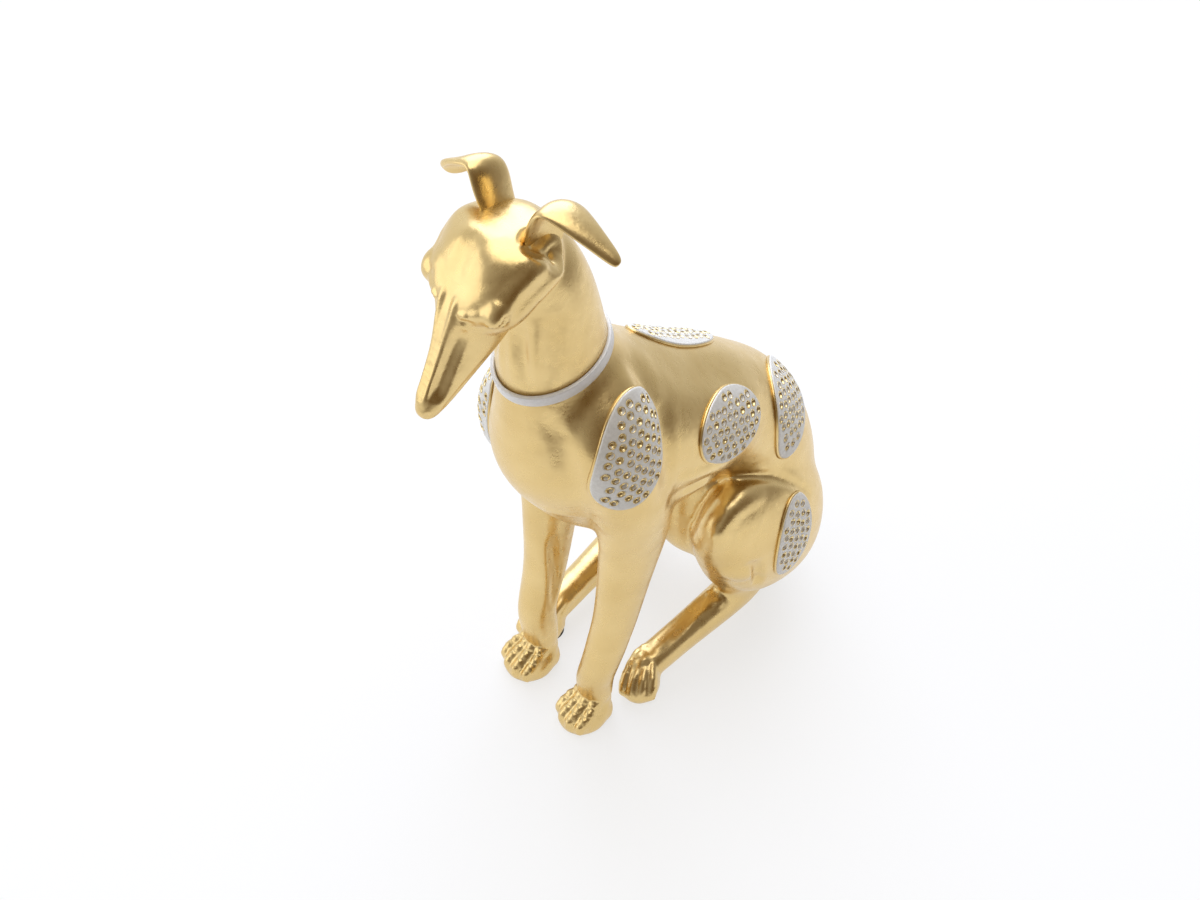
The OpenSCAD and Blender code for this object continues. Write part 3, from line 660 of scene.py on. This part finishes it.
# %% Muscles and folds
BOTH_SIDES = [
    ("front of the shoulder", [(14, -53, 208), (20, -51, 196), (24, -50.5, 183), (26, -47, 163)],
     6.5, -0.9, 0.3),
    ("back of the shoulder", [(26, -4, 193), (33, -9, 183), (38, -12, 166), (41, -15, 150)], 9, -1, 0.3),
    ("shoulder blade", [(15, -3, 204), (25, -6, 195)], 8, 0.4, 0),
    ("side of the spine", [(12, 1, 203), (18, 14, 189), (18, 37, 173), (14, 66, 154)], 12, -0.9, 0.3),
    ("edge of the flank", [(41, -10, 156), (38, 4, 150), (37, 16, 147), (35, 28, 140)], 5, 1.2, 0.3),
    ("belly fold", [(41, -13, 149), (36, 4, 140), (35, 19, 137), (30, 33, 127)], 4.5, -2, 0.3),
    ("top of the thigh", [(24, 42, 113), (33, 60, 107), (37, 73, 96), (39, 81, 84)], 4, -1.8, 0.3),
    ("rim of the thigh", [(33, 23, 86), (33.5, 24, 93), (33.2, 27.4, 100.5), (33.2, 33.5, 105.7),
                          (33.3, 41, 107.5), (34, 53.5, 105.4)], 7.5, 1.5, 0.3),
    ("furrow behind the knee", [(41.5, 37.1, 75.4), (42.2, 40.4, 71.5), (40.6, 45.3, 61.5),
                                (39.1, 47.7, 51.3)], 4, -1.8, 0.3),
    ("calf", [(36, 31, 68), (41, 37, 66)], 8, 1.2, 0),
    ("under the calf", [(43, 43, 75), (41.5, 45, 59), (33, 52, 42)], 4, -1.4, 0.3),
    ("edge of the chest", [(33, -34, 140), (20, -47, 146), (6, -52, 150)], 6, 0.8, 0.3),
]
ONE_SIDE = [
    ("ankle, inside", [(13, 44, 25), (13.5, 43, 26)], 3.2, 1.1, 0),
    ("ankle, outside", [(21, 44, 24), (21.5, 43, 25)], 3.2, 1.1, 0),
    ("tendon of the hind foot", [(18, 40, 25), (22, 22, 22), (26, 6, 19)], 3, 1, 0.2),
    ("top of the hind foot", [(13.5, 40, 23), (18.5, 21, 22), (21.5, 6, 20)], 3, -0.6, 0.2),
    ("dew claw", [(9, -27.5, 52), (9, -28, 48)], 3, 1.6, 0),
    ("groove of the right shin", [(-15.5, -25, 92), (-15.5, -23.5, 66), (-16, -25, 42)], 4, -1.5, 0.3),
    ("side of the right hind foot", [(-41, 44, 17), (-33, 15, 14), (-29, -8, 12)], 3, -0.9, 0.2),
    ("bone of the right shin", [(-19.5, -29.5, 92), (-18.5, -28.5, 66), (-18, -29, 42)], 3.5, 0.6, 0.3),
]
draw(body, BOTH_SIDES)
draw(body, ONE_SIDE, sides=(1,))

# %% [markdown]
# Thigh, lap and belly run into each other in front of the knee, and the joined forms leave small wrinkles
# there. The faces near a few spots are selected and smoothed, as a smoothing brush would do it.

# %% A smooth groin
GROIN = [(26, 25, 92), (27, 28, 101)]
GROIN_RADIUS = 7
SOLE_HEIGHT = 2


def select_near(piece, spots, radius):
    """Opens a piece for editing, with its faces near some sculpture points selected, but not the sole's."""
    take_up(piece)
    bpy.ops.object.mode_set(mode="EDIT")
    bpy.ops.mesh.select_mode(type="FACE")
    bpy.ops.mesh.select_all(action="DESELECT")
    mesh = bmesh.from_edit_mesh(piece.data)
    marks = [place(spot) for spot in spots]
    for face in mesh.faces:
        middle = face.calc_center_median()
        if middle.z > SOLE_HEIGHT * MM and any((middle - mark).length < radius * MM for mark in marks):
            face.select_set(True)
    bmesh.update_edit_mesh(piece.data)


select_near(body, GROIN + [(-x, y, z) for x, y, z in GROIN], GROIN_RADIUS)
bpy.ops.mesh.vertices_smooth(factor=0.5, repeat=15)
bpy.ops.object.mode_set(mode="OBJECT")

# %% [markdown]
# The toes need a finer skin than the back does, so the faces of the paws are selected and subdivided. On the
# front paws a bead is then raised on each knuckle and a groove drawn between the toes. On the hind paws a
# long tendon runs down to each toe.

# %% Toes
PAW_MIDDLE = (0, -0.25, 10)
PAW_REACH = 16.5
BEAD_LEAD = 0.02
BEAD_LIFT = 3
# so short that the stroke leaves a round bead
BEAD_STROKE = Vector((0, 0, 0.01))
TOE_ROOT = -0.2
# share of the width from toe to toe, share of the length, and height
GROOVE = [(0.18, -0.1, 15), (0.214, -0.21, 12.5), (0.23, -0.33, 10), (0.236, -0.46, 4)]
TENDON = [(0.1, 0.36, 17), (0.17, -0.04, 14.5), (0.214, -0.24, 12), (0.23, -0.45, 5)]


def down_a_toe(paw, toe, lead, points):
    """A path down a toe, or down a gap between two, that stands forward by lead ahead of the toe's root."""
    return [on_paw(paw, x * toe, y - (lead if y < TOE_ROOT else 0), z) for x, y, z in points]


select_near(body, [on_paw(paw, *PAW_MIDDLE) for paw in PAWS], PAW_REACH)
bpy.ops.mesh.subdivide(number_cuts=2, smoothness=0.6, quadcorner="INNERVERT")
bpy.ops.object.mode_set(mode="OBJECT")
for paw in PAWS[:2]:
    for toe in TOES:
        for x, y, z in (ball[:3] for ball in TOE_BALLS):
            knuckle = on_paw(paw, x * toe, y - BEAD_LEAD - toe_lead(toe), z + BEAD_LIFT)
            press(body, [knuckle, knuckle + BEAD_STROKE], radius=2.6, height=0.8)
    for gap in (-1, 0, 1):
        lead = (toe_lead(gap - 0.5) + toe_lead(gap + 0.5)) / 2
        press(body, down_a_toe(paw, gap, lead, GROOVE), radius=1.5, height=-0.2, fade=0.2)
for paw in PAWS[2:]:
    for toe in TOES:
        press(body, down_a_toe(paw, toe, toe_lead(toe), TENDON), radius=2.4, height=1.1, fade=0.15)
shade(body)
count_faces(body)

# %% [markdown]
# ## Felt pads
# A thin round of felt is glued under each paw, so that the casting doesn't scratch what it stands on. A low
# cylinder is all it takes.

# %% Felt pads
PAD_RADIUS = 8
PAD_NAMES = ["left_front_pad", "right_front_pad", "left_hind_pad", "right_hind_pad"]
pads = {}
for name, paw in zip(PAD_NAMES, PAWS):
    start_clean()
    bpy.ops.mesh.primitive_cylinder_add(vertices=64, radius=PAD_RADIUS * MM, depth=FELT_THICKNESS * MM,
                                        location=place(on_paw(paw, 0, 0, FELT_THICKNESS / 2)))
    bpy.ops.object.transform_apply()
    pads[name] = bpy.context.object
    pads[name].name = "felt_" + name
print("felt pads:", len(pads))

# %% [markdown]
# ## Collar
# A flat painted band covers the joint between neck and body. It starts as one ring round the neck, which
# is extruded upwards into a band, given its thickness, and its edges are rounded with a bevel.

# %% Collar
COLLAR_HEIGHT = 5.2
COLLAR_THICKNESS = 1.8
COLLAR_SIDES = 128
COLLAR_SINK = 0.6
COLLAR_ROUNDING = 0.6
*collar_middle, collar_width, collar_depth, lean = span(COLLAR_TOP, COLLAR_BOTTOM, NECK_HALF_WIDTH)[:6]
lean = math.radians(lean)
collar_back = Vector((0, math.cos(lean), math.sin(lean)))
collar_axis = Vector((0, -math.sin(lean), math.cos(lean)))
collar_start = Vector(collar_middle) - collar_axis * COLLAR_HEIGHT / 2
start_clean()
bpy.ops.mesh.primitive_circle_add(vertices=COLLAR_SIDES, radius=MM, location=(0, 0, 0))
collar = bpy.context.object
collar.name = "silver_collar"
for count, vert in enumerate(collar.data.vertices):
    angle = math.tau * count / COLLAR_SIDES
    back = collar_back * math.sin(angle) * (collar_depth - COLLAR_SINK)
    vert.co = place(collar_start + back + Vector((math.cos(angle) * (collar_width - COLLAR_SINK), 0, 0)))
edit_all(collar)
bpy.ops.mesh.extrude_edges_move(TRANSFORM_OT_translate={"value": collar_axis * COLLAR_HEIGHT * MM})
face_outwards(collar)
put_on(collar, "SOLIDIFY", thickness=COLLAR_THICKNESS * MM, offset=1)
put_on(collar, "BEVEL", width=COLLAR_ROUNDING * MM, segments=3, limit_method="ANGLE",
       angle_limit=math.radians(50))
shade(collar)
count_faces(collar)

# %% [markdown]
# ## Patches and dimples
# Oval patches with round dimples lie on the coat, each on a low gold bed that shows as a thin line round it.
# Bed and patch start as a grid whose square is rounded into an oval. It is laid on the coat with Shrinkwrap,
# raised along the normals, dented at each dimple and closed with Solidify. The middle of a bed is sunk, so
# that it stays under the dimples. The solid of a patch says where it lies and how large it is, but a few are
# moved or trimmed by some millimetres, and the ends of the one on the rump are pulled down.

# %% Patch helpers
# in millimetres: the way of a patch off its solid, what its half sizes lose, and the pull on its ends
PATCH_SHIFT = {"left_shoulder": (0.8, 1.6, -2.6), "left_flank": (0.5, 1, -0.8), "left_thigh": (0.8, 0.9, 0),
               "withers": (-3, 0, 0), "rump": (1.5, -1, -0.9)}
PATCH_TRIM = {"withers": (0, 3), "rump": (2, 0)}
PATCH_PULL = {"rump": (0, 5.2, -6.1)}
body_middle = coordinates(body).mean(axis=0)
print("middle of the body:", body_middle)


def patch_bed(spot):
    """Middle, long, cross and outward directions, and half sizes of a patch, read from its solid."""
    points = np.array([vert.co for vert in frame["nodes"][spot + "_patch"].data.vertices])
    away = points - points.mean(axis=0)
    axes = np.linalg.svd(away, full_matrices=False)[2]
    spread = away @ axes.T
    middle = points.mean(axis=0) + axes.T @ ((spread.min(axis=0) + spread.max(axis=0)) / 2)
    half = (spread.max(axis=0) - spread.min(axis=0)) / 2
    long, cross, outward = axes
    if outward @ (middle - body_middle) < 0:
        outward = -outward
    if np.cross(long, cross) @ outward < 0:
        cross = -cross
    middle = Vector(middle) + Vector(PATCH_SHIFT.get(spot, (0, 0, 0))) * MM
    half_long, half_cross = half[:2] - np.array(PATCH_TRIM.get(spot, (0, 0))) * MM
    return middle, Vector(long), Vector(cross), Vector(outward), half_long, half_cross


# %% Dimple places
DIMPLE_SPACING = 4.6
ROW_SHARE = 0.87
DIMPLES_EACH_WAY = 12
DIMPLE_STRAY = 0.35
DIMPLE_RADIUS = 1.6
DIMPLE_DEPTH = 1.4
RIM_MARGIN = 2.3


def dimple_places(half_long, half_cross):
    """Staggered, slightly straying rows of dimples clear of the rim, in metres on the flat patch."""
    places = []
    step = DIMPLE_SPACING * MM
    stray = DIMPLE_STRAY * MM
    rows = int(half_cross / (step * ROW_SHARE)) + 1
    for row in range(-rows, rows + 1):
        for count in range(-DIMPLES_EACH_WAY, DIMPLES_EACH_WAY + 1):
            x = (count + 0.5 * (row % 2)) * step + stray * math.sin(3.1 * row + 1.7 * count)
            y = row * ROW_SHARE * step + stray * math.sin(2.3 * count + 0.9 * row)
            room = (x / (half_long - RIM_MARGIN * MM))**2 + (y / (half_cross - RIM_MARGIN * MM))**2
            if room < 1:
                places.append((x, y))
    return places


# %% Plates on the coat
RIM_ROUNDING = 0.6
BED_LIP = 1.7
BED_SINK = 1.7
PLATE_LIFT = 12
PLATE_WALL = 2.2


def wrap_oval(name, lie, half_long, half_cross, grid, bend):
    """An oval sheet on the coat, with its ends bent along the sheet, and the flat places of its points."""
    start_clean()
    columns, rows = grid
    bpy.ops.mesh.primitive_grid_add(x_subdivisions=columns, y_subdivisions=rows, size=2, location=(0, 0, 0))
    sheet = bpy.context.object
    sheet.name = name
    square = coordinates(sheet)
    x = square[:, 0] * np.sqrt(1 - square[:, 1]**2 / 2) * half_long
    y = square[:, 1] * np.sqrt(1 - square[:, 0]**2 / 2) * half_cross
    ends = (x / half_long)**2
    above = np.full(len(x), PLATE_LIFT * MM)
    put_back(sheet, np.stack([x + ends * bend[0], y + ends * bend[1], above], axis=1))
    sheet.matrix_world = lie
    bpy.context.view_layer.update()
    put_on(sheet, "SHRINKWRAP", target=body, wrap_method="PROJECT", use_project_z=True,
           use_positive_direction=False, use_negative_direction=True)
    bpy.ops.object.transform_apply()
    put_on(sheet, "SMOOTH", factor=0.5, iterations=6)
    return sheet, x, y


def lay_plate(name, spot, margin, rise, grid, dimpled=False):
    """An oval plate on the coat, margin wider than the patch at the spot, and the seats of its dimples."""
    middle, long, cross, outward, half_long, half_cross = patch_bed(spot)
    dimples = dimple_places(half_long, half_cross) if dimpled else []
    half_long += margin * MM
    half_cross += margin * MM
    lie = Matrix((long, cross, outward)).transposed().to_4x4()
    lie.translation = middle
    pull = Vector(PATCH_PULL.get(spot, (0, 0, 0))) * MM
    plate, x, y = wrap_oval(name, lie, half_long, half_cross, grid, (pull.dot(long), pull.dot(cross)))
    laid = coordinates(plate)
    normals = normals_of(plate)
    inside = 1 - np.hypot(x / half_long, y / half_cross)
    edge = np.clip(inside * half_cross / (RIM_ROUNDING * MM), 0, 1)
    lift = rise * MM * np.sqrt(1 - (1 - edge)**2)
    if not dimpled:
        lift -= BED_SINK * MM * np.clip(inside * half_cross / MM - BED_LIP, 0, 1)
    dent = np.zeros(len(x))
    seats = []
    for dimple in dimples:
        gap = np.hypot(x - dimple[0], y - dimple[1])
        dent = np.maximum(dent, DIMPLE_DEPTH * MM * np.clip(1 - (gap / (DIMPLE_RADIUS * MM))**2, 0, 1))
        nearest = int(np.argmin(gap))
        seats.append((Vector(laid[nearest] + normals[nearest] * lift[nearest]), Vector(normals[nearest])))
    put_back(plate, laid + normals * (lift - dent)[:, None])
    put_on(plate, "SOLIDIFY", thickness=PLATE_WALL * MM, offset=-1)
    shade(plate)
    return plate, seats


# %% Patches and their beds
PATCH_RISE = 1.5
BED_RISE = 1.0
BED_MARGIN = 0.7
PATCH_GRID = (150, 100)
BED_GRID = (80, 56)
PATCHES = ["left_shoulder", "right_shoulder", "left_flank", "right_flank",
           "withers", "rump", "left_thigh", "right_thigh"]
patches = {}
beds = {}
seats_of = {}
for spot in PATCHES:
    patches[spot], seats_of[spot] = lay_plate("silver_" + spot, spot, 0, PATCH_RISE, PATCH_GRID, dimpled=True)
    beds[spot] = lay_plate("gold_bed_" + spot, spot, BED_MARGIN, BED_RISE, BED_GRID)[0]
    print(spot, len(seats_of[spot]), "dimples")

# %% [markdown]
# Each dimple is lined with gold. The lining is a shallow cup: a small ball cut in half, so that it is
# hollow side out, with a wall, modelled once and copied into every dimple of a patch as one mesh.

# %% Dimple linings
# shares of a cup's radius
CUP_CUT = -0.02
CUP_WALL = 0.12
start_clean()
bpy.ops.mesh.primitive_uv_sphere_add(segments=12, ring_count=8, radius=1, location=(0, 0, 0))
cup = bpy.context.object
edit_all(cup)
bpy.ops.mesh.bisect(plane_co=(0, 0, CUP_CUT), plane_no=(0, 0, 1), clear_outer=True, use_fill=False)
bpy.ops.mesh.select_all(action="SELECT")
bpy.ops.mesh.flip_normals()
bpy.ops.object.mode_set(mode="OBJECT")
put_on(cup, "SOLIDIFY", thickness=CUP_WALL, offset=-1)
cup_points = coordinates(cup)
cup_faces = [list(face.vertices) for face in cup.data.polygons]
count_faces(cup)

# %% Copies of the lining
LINING_DEPTH = DIMPLE_DEPTH * 0.95
LINING_FIT = 0.98
LINING_RISE = 0.08


def line_dimples(name, seats):
    """All the linings of one patch as one mesh."""
    points = []
    faces = []
    size = np.array([DIMPLE_RADIUS, DIMPLE_RADIUS, LINING_DEPTH]) * MM * LINING_FIT
    for middle, outward in seats:
        turn = np.array(outward.to_track_quat("Z", "Y").to_matrix())
        first = len(points) * len(cup_points)
        points.append((cup_points * size) @ turn.T + np.array(middle + outward * LINING_RISE * MM))
        faces += [[corner + first for corner in face] for face in cup_faces]
    mesh = bpy.data.meshes.new(name)
    mesh.from_pydata(np.concatenate(points).tolist(), [], faces)
    mesh.update()
    lining = bpy.data.objects.new(name, mesh)
    bpy.context.collection.objects.link(lining)
    shade(lining)
    return lining


linings = {spot: line_dimples("gold_dimples_" + spot, seats_of[spot]) for spot in PATCHES}
bpy.data.objects.remove(cup)

# %% [markdown]
# ## Finishes
# Gold first: a satin metallic spray. Real spray paint is never one flat colour: the flakes lie unevenly,
# so colour and gloss drift over the surface, and a fine grain shows where light grazes it. Noise on
# Object coordinates drives the colour, the roughness and a fine bump.

# %% Node helpers
def new_material(name):
    """A material with nodes, its node tree and its Principled shader."""
    material = bpy.data.materials.new(name)
    material.use_nodes = True
    return material, material.node_tree, material.node_tree.nodes["Principled BSDF"]


def add_node(tree, kind, **settings):
    """Adds a node and sets its properties and, by their names, its inputs."""
    node = tree.nodes.new(kind)
    for name, value in settings.items():
        if name in node.inputs:
            node.inputs[name].default_value = value
        else:
            setattr(node, name, value)
    return node


def noise(tree, place_from, scale, detail=3, rough=0.5):
    """A noise texture on Object coordinates."""
    texture = add_node(tree, "ShaderNodeTexNoise", Scale=scale, Detail=detail, Roughness=rough)
    tree.links.new(place_from, texture.inputs["Vector"])
    return texture.outputs["Fac"]


def ramp(tree, value, low, high, start=0.3, stop=0.7):
    """Maps a value to the span from low to high. Most of a noise lies between 0.3 and 0.7."""
    spans = {"From Min": start, "From Max": stop, "To Min": low, "To Max": high}
    node = add_node(tree, "ShaderNodeMapRange", **spans)
    tree.links.new(value, node.inputs["Value"])
    return node.outputs["Result"]


def mix_colours(tree, value, first, second):
    """A colour between two, by a value from 0 to 1."""
    node = add_node(tree, "ShaderNodeMix", data_type="RGBA", A=first, B=second)
    tree.links.new(value, node.inputs["Factor"])
    return node.outputs["Result"]


def grain_bump(tree, shader, place_from, layers):
    """Bump from several grains: (scale, strength, distance in millimetres) each."""
    normal = None
    for scale, strength, distance in layers:
        bump = add_node(tree, "ShaderNodeBump", Strength=strength, Distance=distance * MM)
        tree.links.new(noise(tree, place_from, scale), bump.inputs["Height"])
        if normal is not None:
            tree.links.new(normal, bump.inputs["Normal"])
        normal = bump.outputs["Normal"]
    tree.links.new(normal, shader.inputs["Normal"])


# %% Gold
COAT_ROUGHNESS = 0.25
GOLD = {"drift": (60, 4, 0.5), "gloss_scale": 240, "metallic": 1, "coat": 0.06}


def paint(name, light, deep, gloss, grain, drift, gloss_scale, metallic=0, coat=0):
    """A finish that drifts between two colours and two roughnesses, with a grain and perhaps a clear coat."""
    material, tree, shader = new_material(name)
    spot = add_node(tree, "ShaderNodeTexCoord").outputs["Object"]
    share = ramp(tree, noise(tree, spot, *drift), 0, 1)
    tree.links.new(mix_colours(tree, share, deep, light), shader.inputs["Base Color"])
    tree.links.new(ramp(tree, noise(tree, spot, gloss_scale), *gloss), shader.inputs["Roughness"])
    shader.inputs["Metallic"].default_value = metallic
    if coat:
        shader.inputs["Coat Weight"].default_value = coat
        shader.inputs["Coat Roughness"].default_value = COAT_ROUGHNESS
    grain_bump(tree, shader, spot, grain)
    return material


gold = paint("satin_gold", (0.82, 0.62, 0.29, 1), (0.74, 0.54, 0.23, 1), gloss=(0.24, 0.36),
             grain=[(240, 0.3, 0.5), (1000, 0.16, 0.2), (2600, 0.1, 0.08)], **GOLD)
# The dimples get a lighter gold than the coat: painted highlight for the bright insides of the cups.
dimple_gold_painted_highlight = paint("dimple_gold_painted_highlight", (0.86, 0.70, 0.38, 1), (0.76, 0.58, 0.27, 1), gloss=(0.1, 0.18),
                    grain=[(2500, 0.08, 0.1)], **GOLD)

# %% [markdown]
# Silver is a pale paint with little metal in it, rougher than the gold, with a coarse sparkle on the patches.
# Felt and stopper are matt, and their finer noise looks like fibre.

# %% Silver, felt and stopper
SILVER = {"drift": (700, 4, 0.7), "gloss_scale": 900, "metallic": 0.12}
MATT = {"drift": (1400, 5, 0.7), "gloss_scale": 800, "gloss": (0.8, 0.95)}
patch_silver = paint("patch_silver", (0.84, 0.83, 0.79, 1), (0.70, 0.69, 0.65, 1), gloss=(0.36, 0.52),
                     grain=[(2200, 0.35, 0.15)], **SILVER)
collar_silver = paint("collar_silver", (0.88, 0.88, 0.87, 1), (0.78, 0.78, 0.77, 1), gloss=(0.34, 0.48),
                      grain=[(1500, 0.12, 0.1)], **SILVER)
felt = paint("black_felt", (0.05, 0.05, 0.05, 1), (0.02, 0.02, 0.02, 1), grain=[(2600, 0.6, 0.3)], **MATT)
stopper = paint("stopper_rubber", (0.16, 0.15, 0.14, 1), (0.10, 0.095, 0.09, 1),
                grain=[(1800, 0.2, 0.1)], **MATT)

# %% [markdown]
# Every piece now gets its finish and is handed to the frame: it rides on the one body, and the solid it
# stands for is hidden. The seat pad and the filler plug stay as they are, in a better material.

# %% Finish and hand each piece to the frame
def hand_over(piece, node, material):
    """Paints a piece, puts it on the one body and hides the solid it stands for."""
    piece.data.materials.clear()
    piece.data.materials.append(material)
    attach(piece, "root")
    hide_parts(node)


hand_over(body, "body_casting", gold)
hand_over(head, "head_casting", gold)
hand_over(left_ear, "left_ear", gold)
hand_over(right_ear, "right_ear", gold)
hand_over(collar, "collar", collar_silver)
for spot in PATCHES:
    hand_over(patches[spot], spot + "_patch", patch_silver)
    hand_over(beds[spot], spot + "_patch", gold)
    hand_over(linings[spot], spot + "_studs", dimple_gold_painted_highlight)
for name, pad in pads.items():
    hand_over(pad, name, felt)
KEPT = {"seat_pad": felt, "filler_plug": stopper}
for node, material in KEPT.items():
    for slot in frame["nodes"][node].material_slots:
        slot.material = material

# %% [markdown]
# ## Floor, light and camera
# The dog stands on a white sweep in a white room. Metal shows what it faces, so what surrounds it draws
# its forms: the room is bright behind the dog and falls off towards the camera's side, where a studio is
# dark. A large cool lamp behind, a white one overhead and a weak one at the picture's left add to it.

# %% Floor
FLOOR_SIZE = 1.15
FLOOR_MIDDLE = (-0.08, 0.07, 0)
# the side that the photograph was taken from, round from the dog's front, and its height, in degrees
CAMERA_AZIMUTH = 48
CAMERA_ELEVATION = 46
start_clean()
bpy.ops.mesh.primitive_plane_add(size=FLOOR_SIZE, location=FLOOR_MIDDLE,
                                 rotation=(0, 0, math.radians(CAMERA_AZIMUTH)))
floor = bpy.context.object
floor.name = "white_floor"
floor_paint, floor_tree, floor_shader = new_material("white_sweep")
floor_shader.inputs["Base Color"].default_value = (0.9, 0.9, 0.9, 1)
floor_shader.inputs["Roughness"].default_value = 0.8
floor.data.materials.append(floor_paint)

# %% [markdown]
# A studio floor is lit until it is nearly white. Here a share of plain white glow does that, which only the
# camera and mirror images see. The room has a white backdrop for the camera too.

# %% A floor that looks white
WHITE_SHARE = 0.7


def larger(tree, first, second):
    """The larger of two values."""
    node = add_node(tree, "ShaderNodeMath", operation="MAXIMUM")
    tree.links.new(first, node.inputs[0])
    tree.links.new(second, node.inputs[1])
    return node.outputs["Value"]


def show_mix(tree, share, first, second, output):
    """Mixes two shaders by a share and shows the result."""
    mix = add_node(tree, "ShaderNodeMixShader")
    tree.links.new(share, mix.inputs["Fac"])
    tree.links.new(first, mix.inputs[1])
    tree.links.new(second, mix.inputs[2])
    tree.links.new(mix.outputs["Shader"], tree.nodes[output].inputs["Surface"])


white = add_node(floor_tree, "ShaderNodeEmission", Color=(1, 1, 1, 1), Strength=1)
ray = add_node(floor_tree, "ShaderNodeLightPath").outputs
mirrored = larger(floor_tree, ray["Is Glossy Ray"], ray["Is Transmission Ray"])
shown = larger(floor_tree, ray["Is Camera Ray"], mirrored)
white_share = ramp(floor_tree, shown, 0, WHITE_SHARE, start=0, stop=1)
show_mix(floor_tree, white_share, floor_shader.outputs["BSDF"], white.outputs["Emission"], "Material Output")

# %% World
DIM_SIDE = Vector((0.97, -0.22, 0.1)).normalized()
BRIGHT_ROOM = (0.94, 0.97, 1.02, 1)
DIM_ROOM = (0.15, 0.10, 0.05, 1)
world = bpy.data.worlds.new("studio")
bpy.context.scene.world = world
world.use_nodes = True
world_tree = world.node_tree
room = world_tree.nodes["Background"]
direction = add_node(world_tree, "ShaderNodeTexCoord").outputs["Generated"]
facing = add_node(world_tree, "ShaderNodeVectorMath", operation="DOT_PRODUCT")
facing.inputs[1].default_value = DIM_SIDE
world_tree.links.new(direction, facing.inputs[0])
dimness = ramp(world_tree, facing.outputs["Value"], 0, 1, start=-1, stop=1)
world_tree.links.new(mix_colours(world_tree, dimness, BRIGHT_ROOM, DIM_ROOM), room.inputs["Color"])
backdrop = add_node(world_tree, "ShaderNodeBackground", Color=(1, 1, 1, 1), Strength=1)
seen = add_node(world_tree, "ShaderNodeLightPath").outputs["Is Camera Ray"]
show_mix(world_tree, seen, room.outputs["Background"], backdrop.outputs["Background"], "World Output")

# %% Lamps
DOG_MIDDLE = Vector((0, 0, 0.15))
WHITE = (1, 1, 1)
COOL_WHITE = (0.86, 0.95, 1.2)


def add_softbox(spot, size, power, colour):
    """A square lamp that faces the middle of the dog, its size in metres and its power in watts."""
    start_clean()
    bpy.ops.object.light_add(type="AREA", location=spot)
    lamp = bpy.context.object
    lamp.data.size = size
    lamp.data.energy = power
    lamp.data.color = colour
    lamp.rotation_euler = (Vector(spot) - DOG_MIDDLE).to_track_quat("Z", "Y").to_euler()


add_softbox((-0.85, 0.75, 1.2), size=1.5, power=15, colour=COOL_WHITE)
add_softbox((0.1, -0.1, 1.5), size=1.2, power=8, colour=WHITE)
add_softbox((-0.8, -1.25, 0.45), size=1.2, power=4, colour=WHITE)

# %% Camera
CAMERA_TARGET = place((-13.14, 0, 130))
CAMERA_DISTANCE = 0.8
SENSOR_WIDTH = 36
LENS = 57
azimuth = math.radians(CAMERA_AZIMUTH)
elevation = math.radians(CAMERA_ELEVATION)
toward = Vector((math.sin(azimuth) * math.cos(elevation), -math.cos(azimuth) * math.cos(elevation),
                 math.sin(elevation)))
bpy.ops.object.camera_add(location=CAMERA_TARGET + toward * CAMERA_DISTANCE)
camera = bpy.context.object
camera.rotation_euler = toward.to_track_quat("Z", "Y").to_euler()
camera.data.sensor_width = SENSOR_WIDTH
camera.data.lens = LENS
bpy.context.scene.camera = camera
bpy.context.scene.view_settings.view_transform = "Standard"
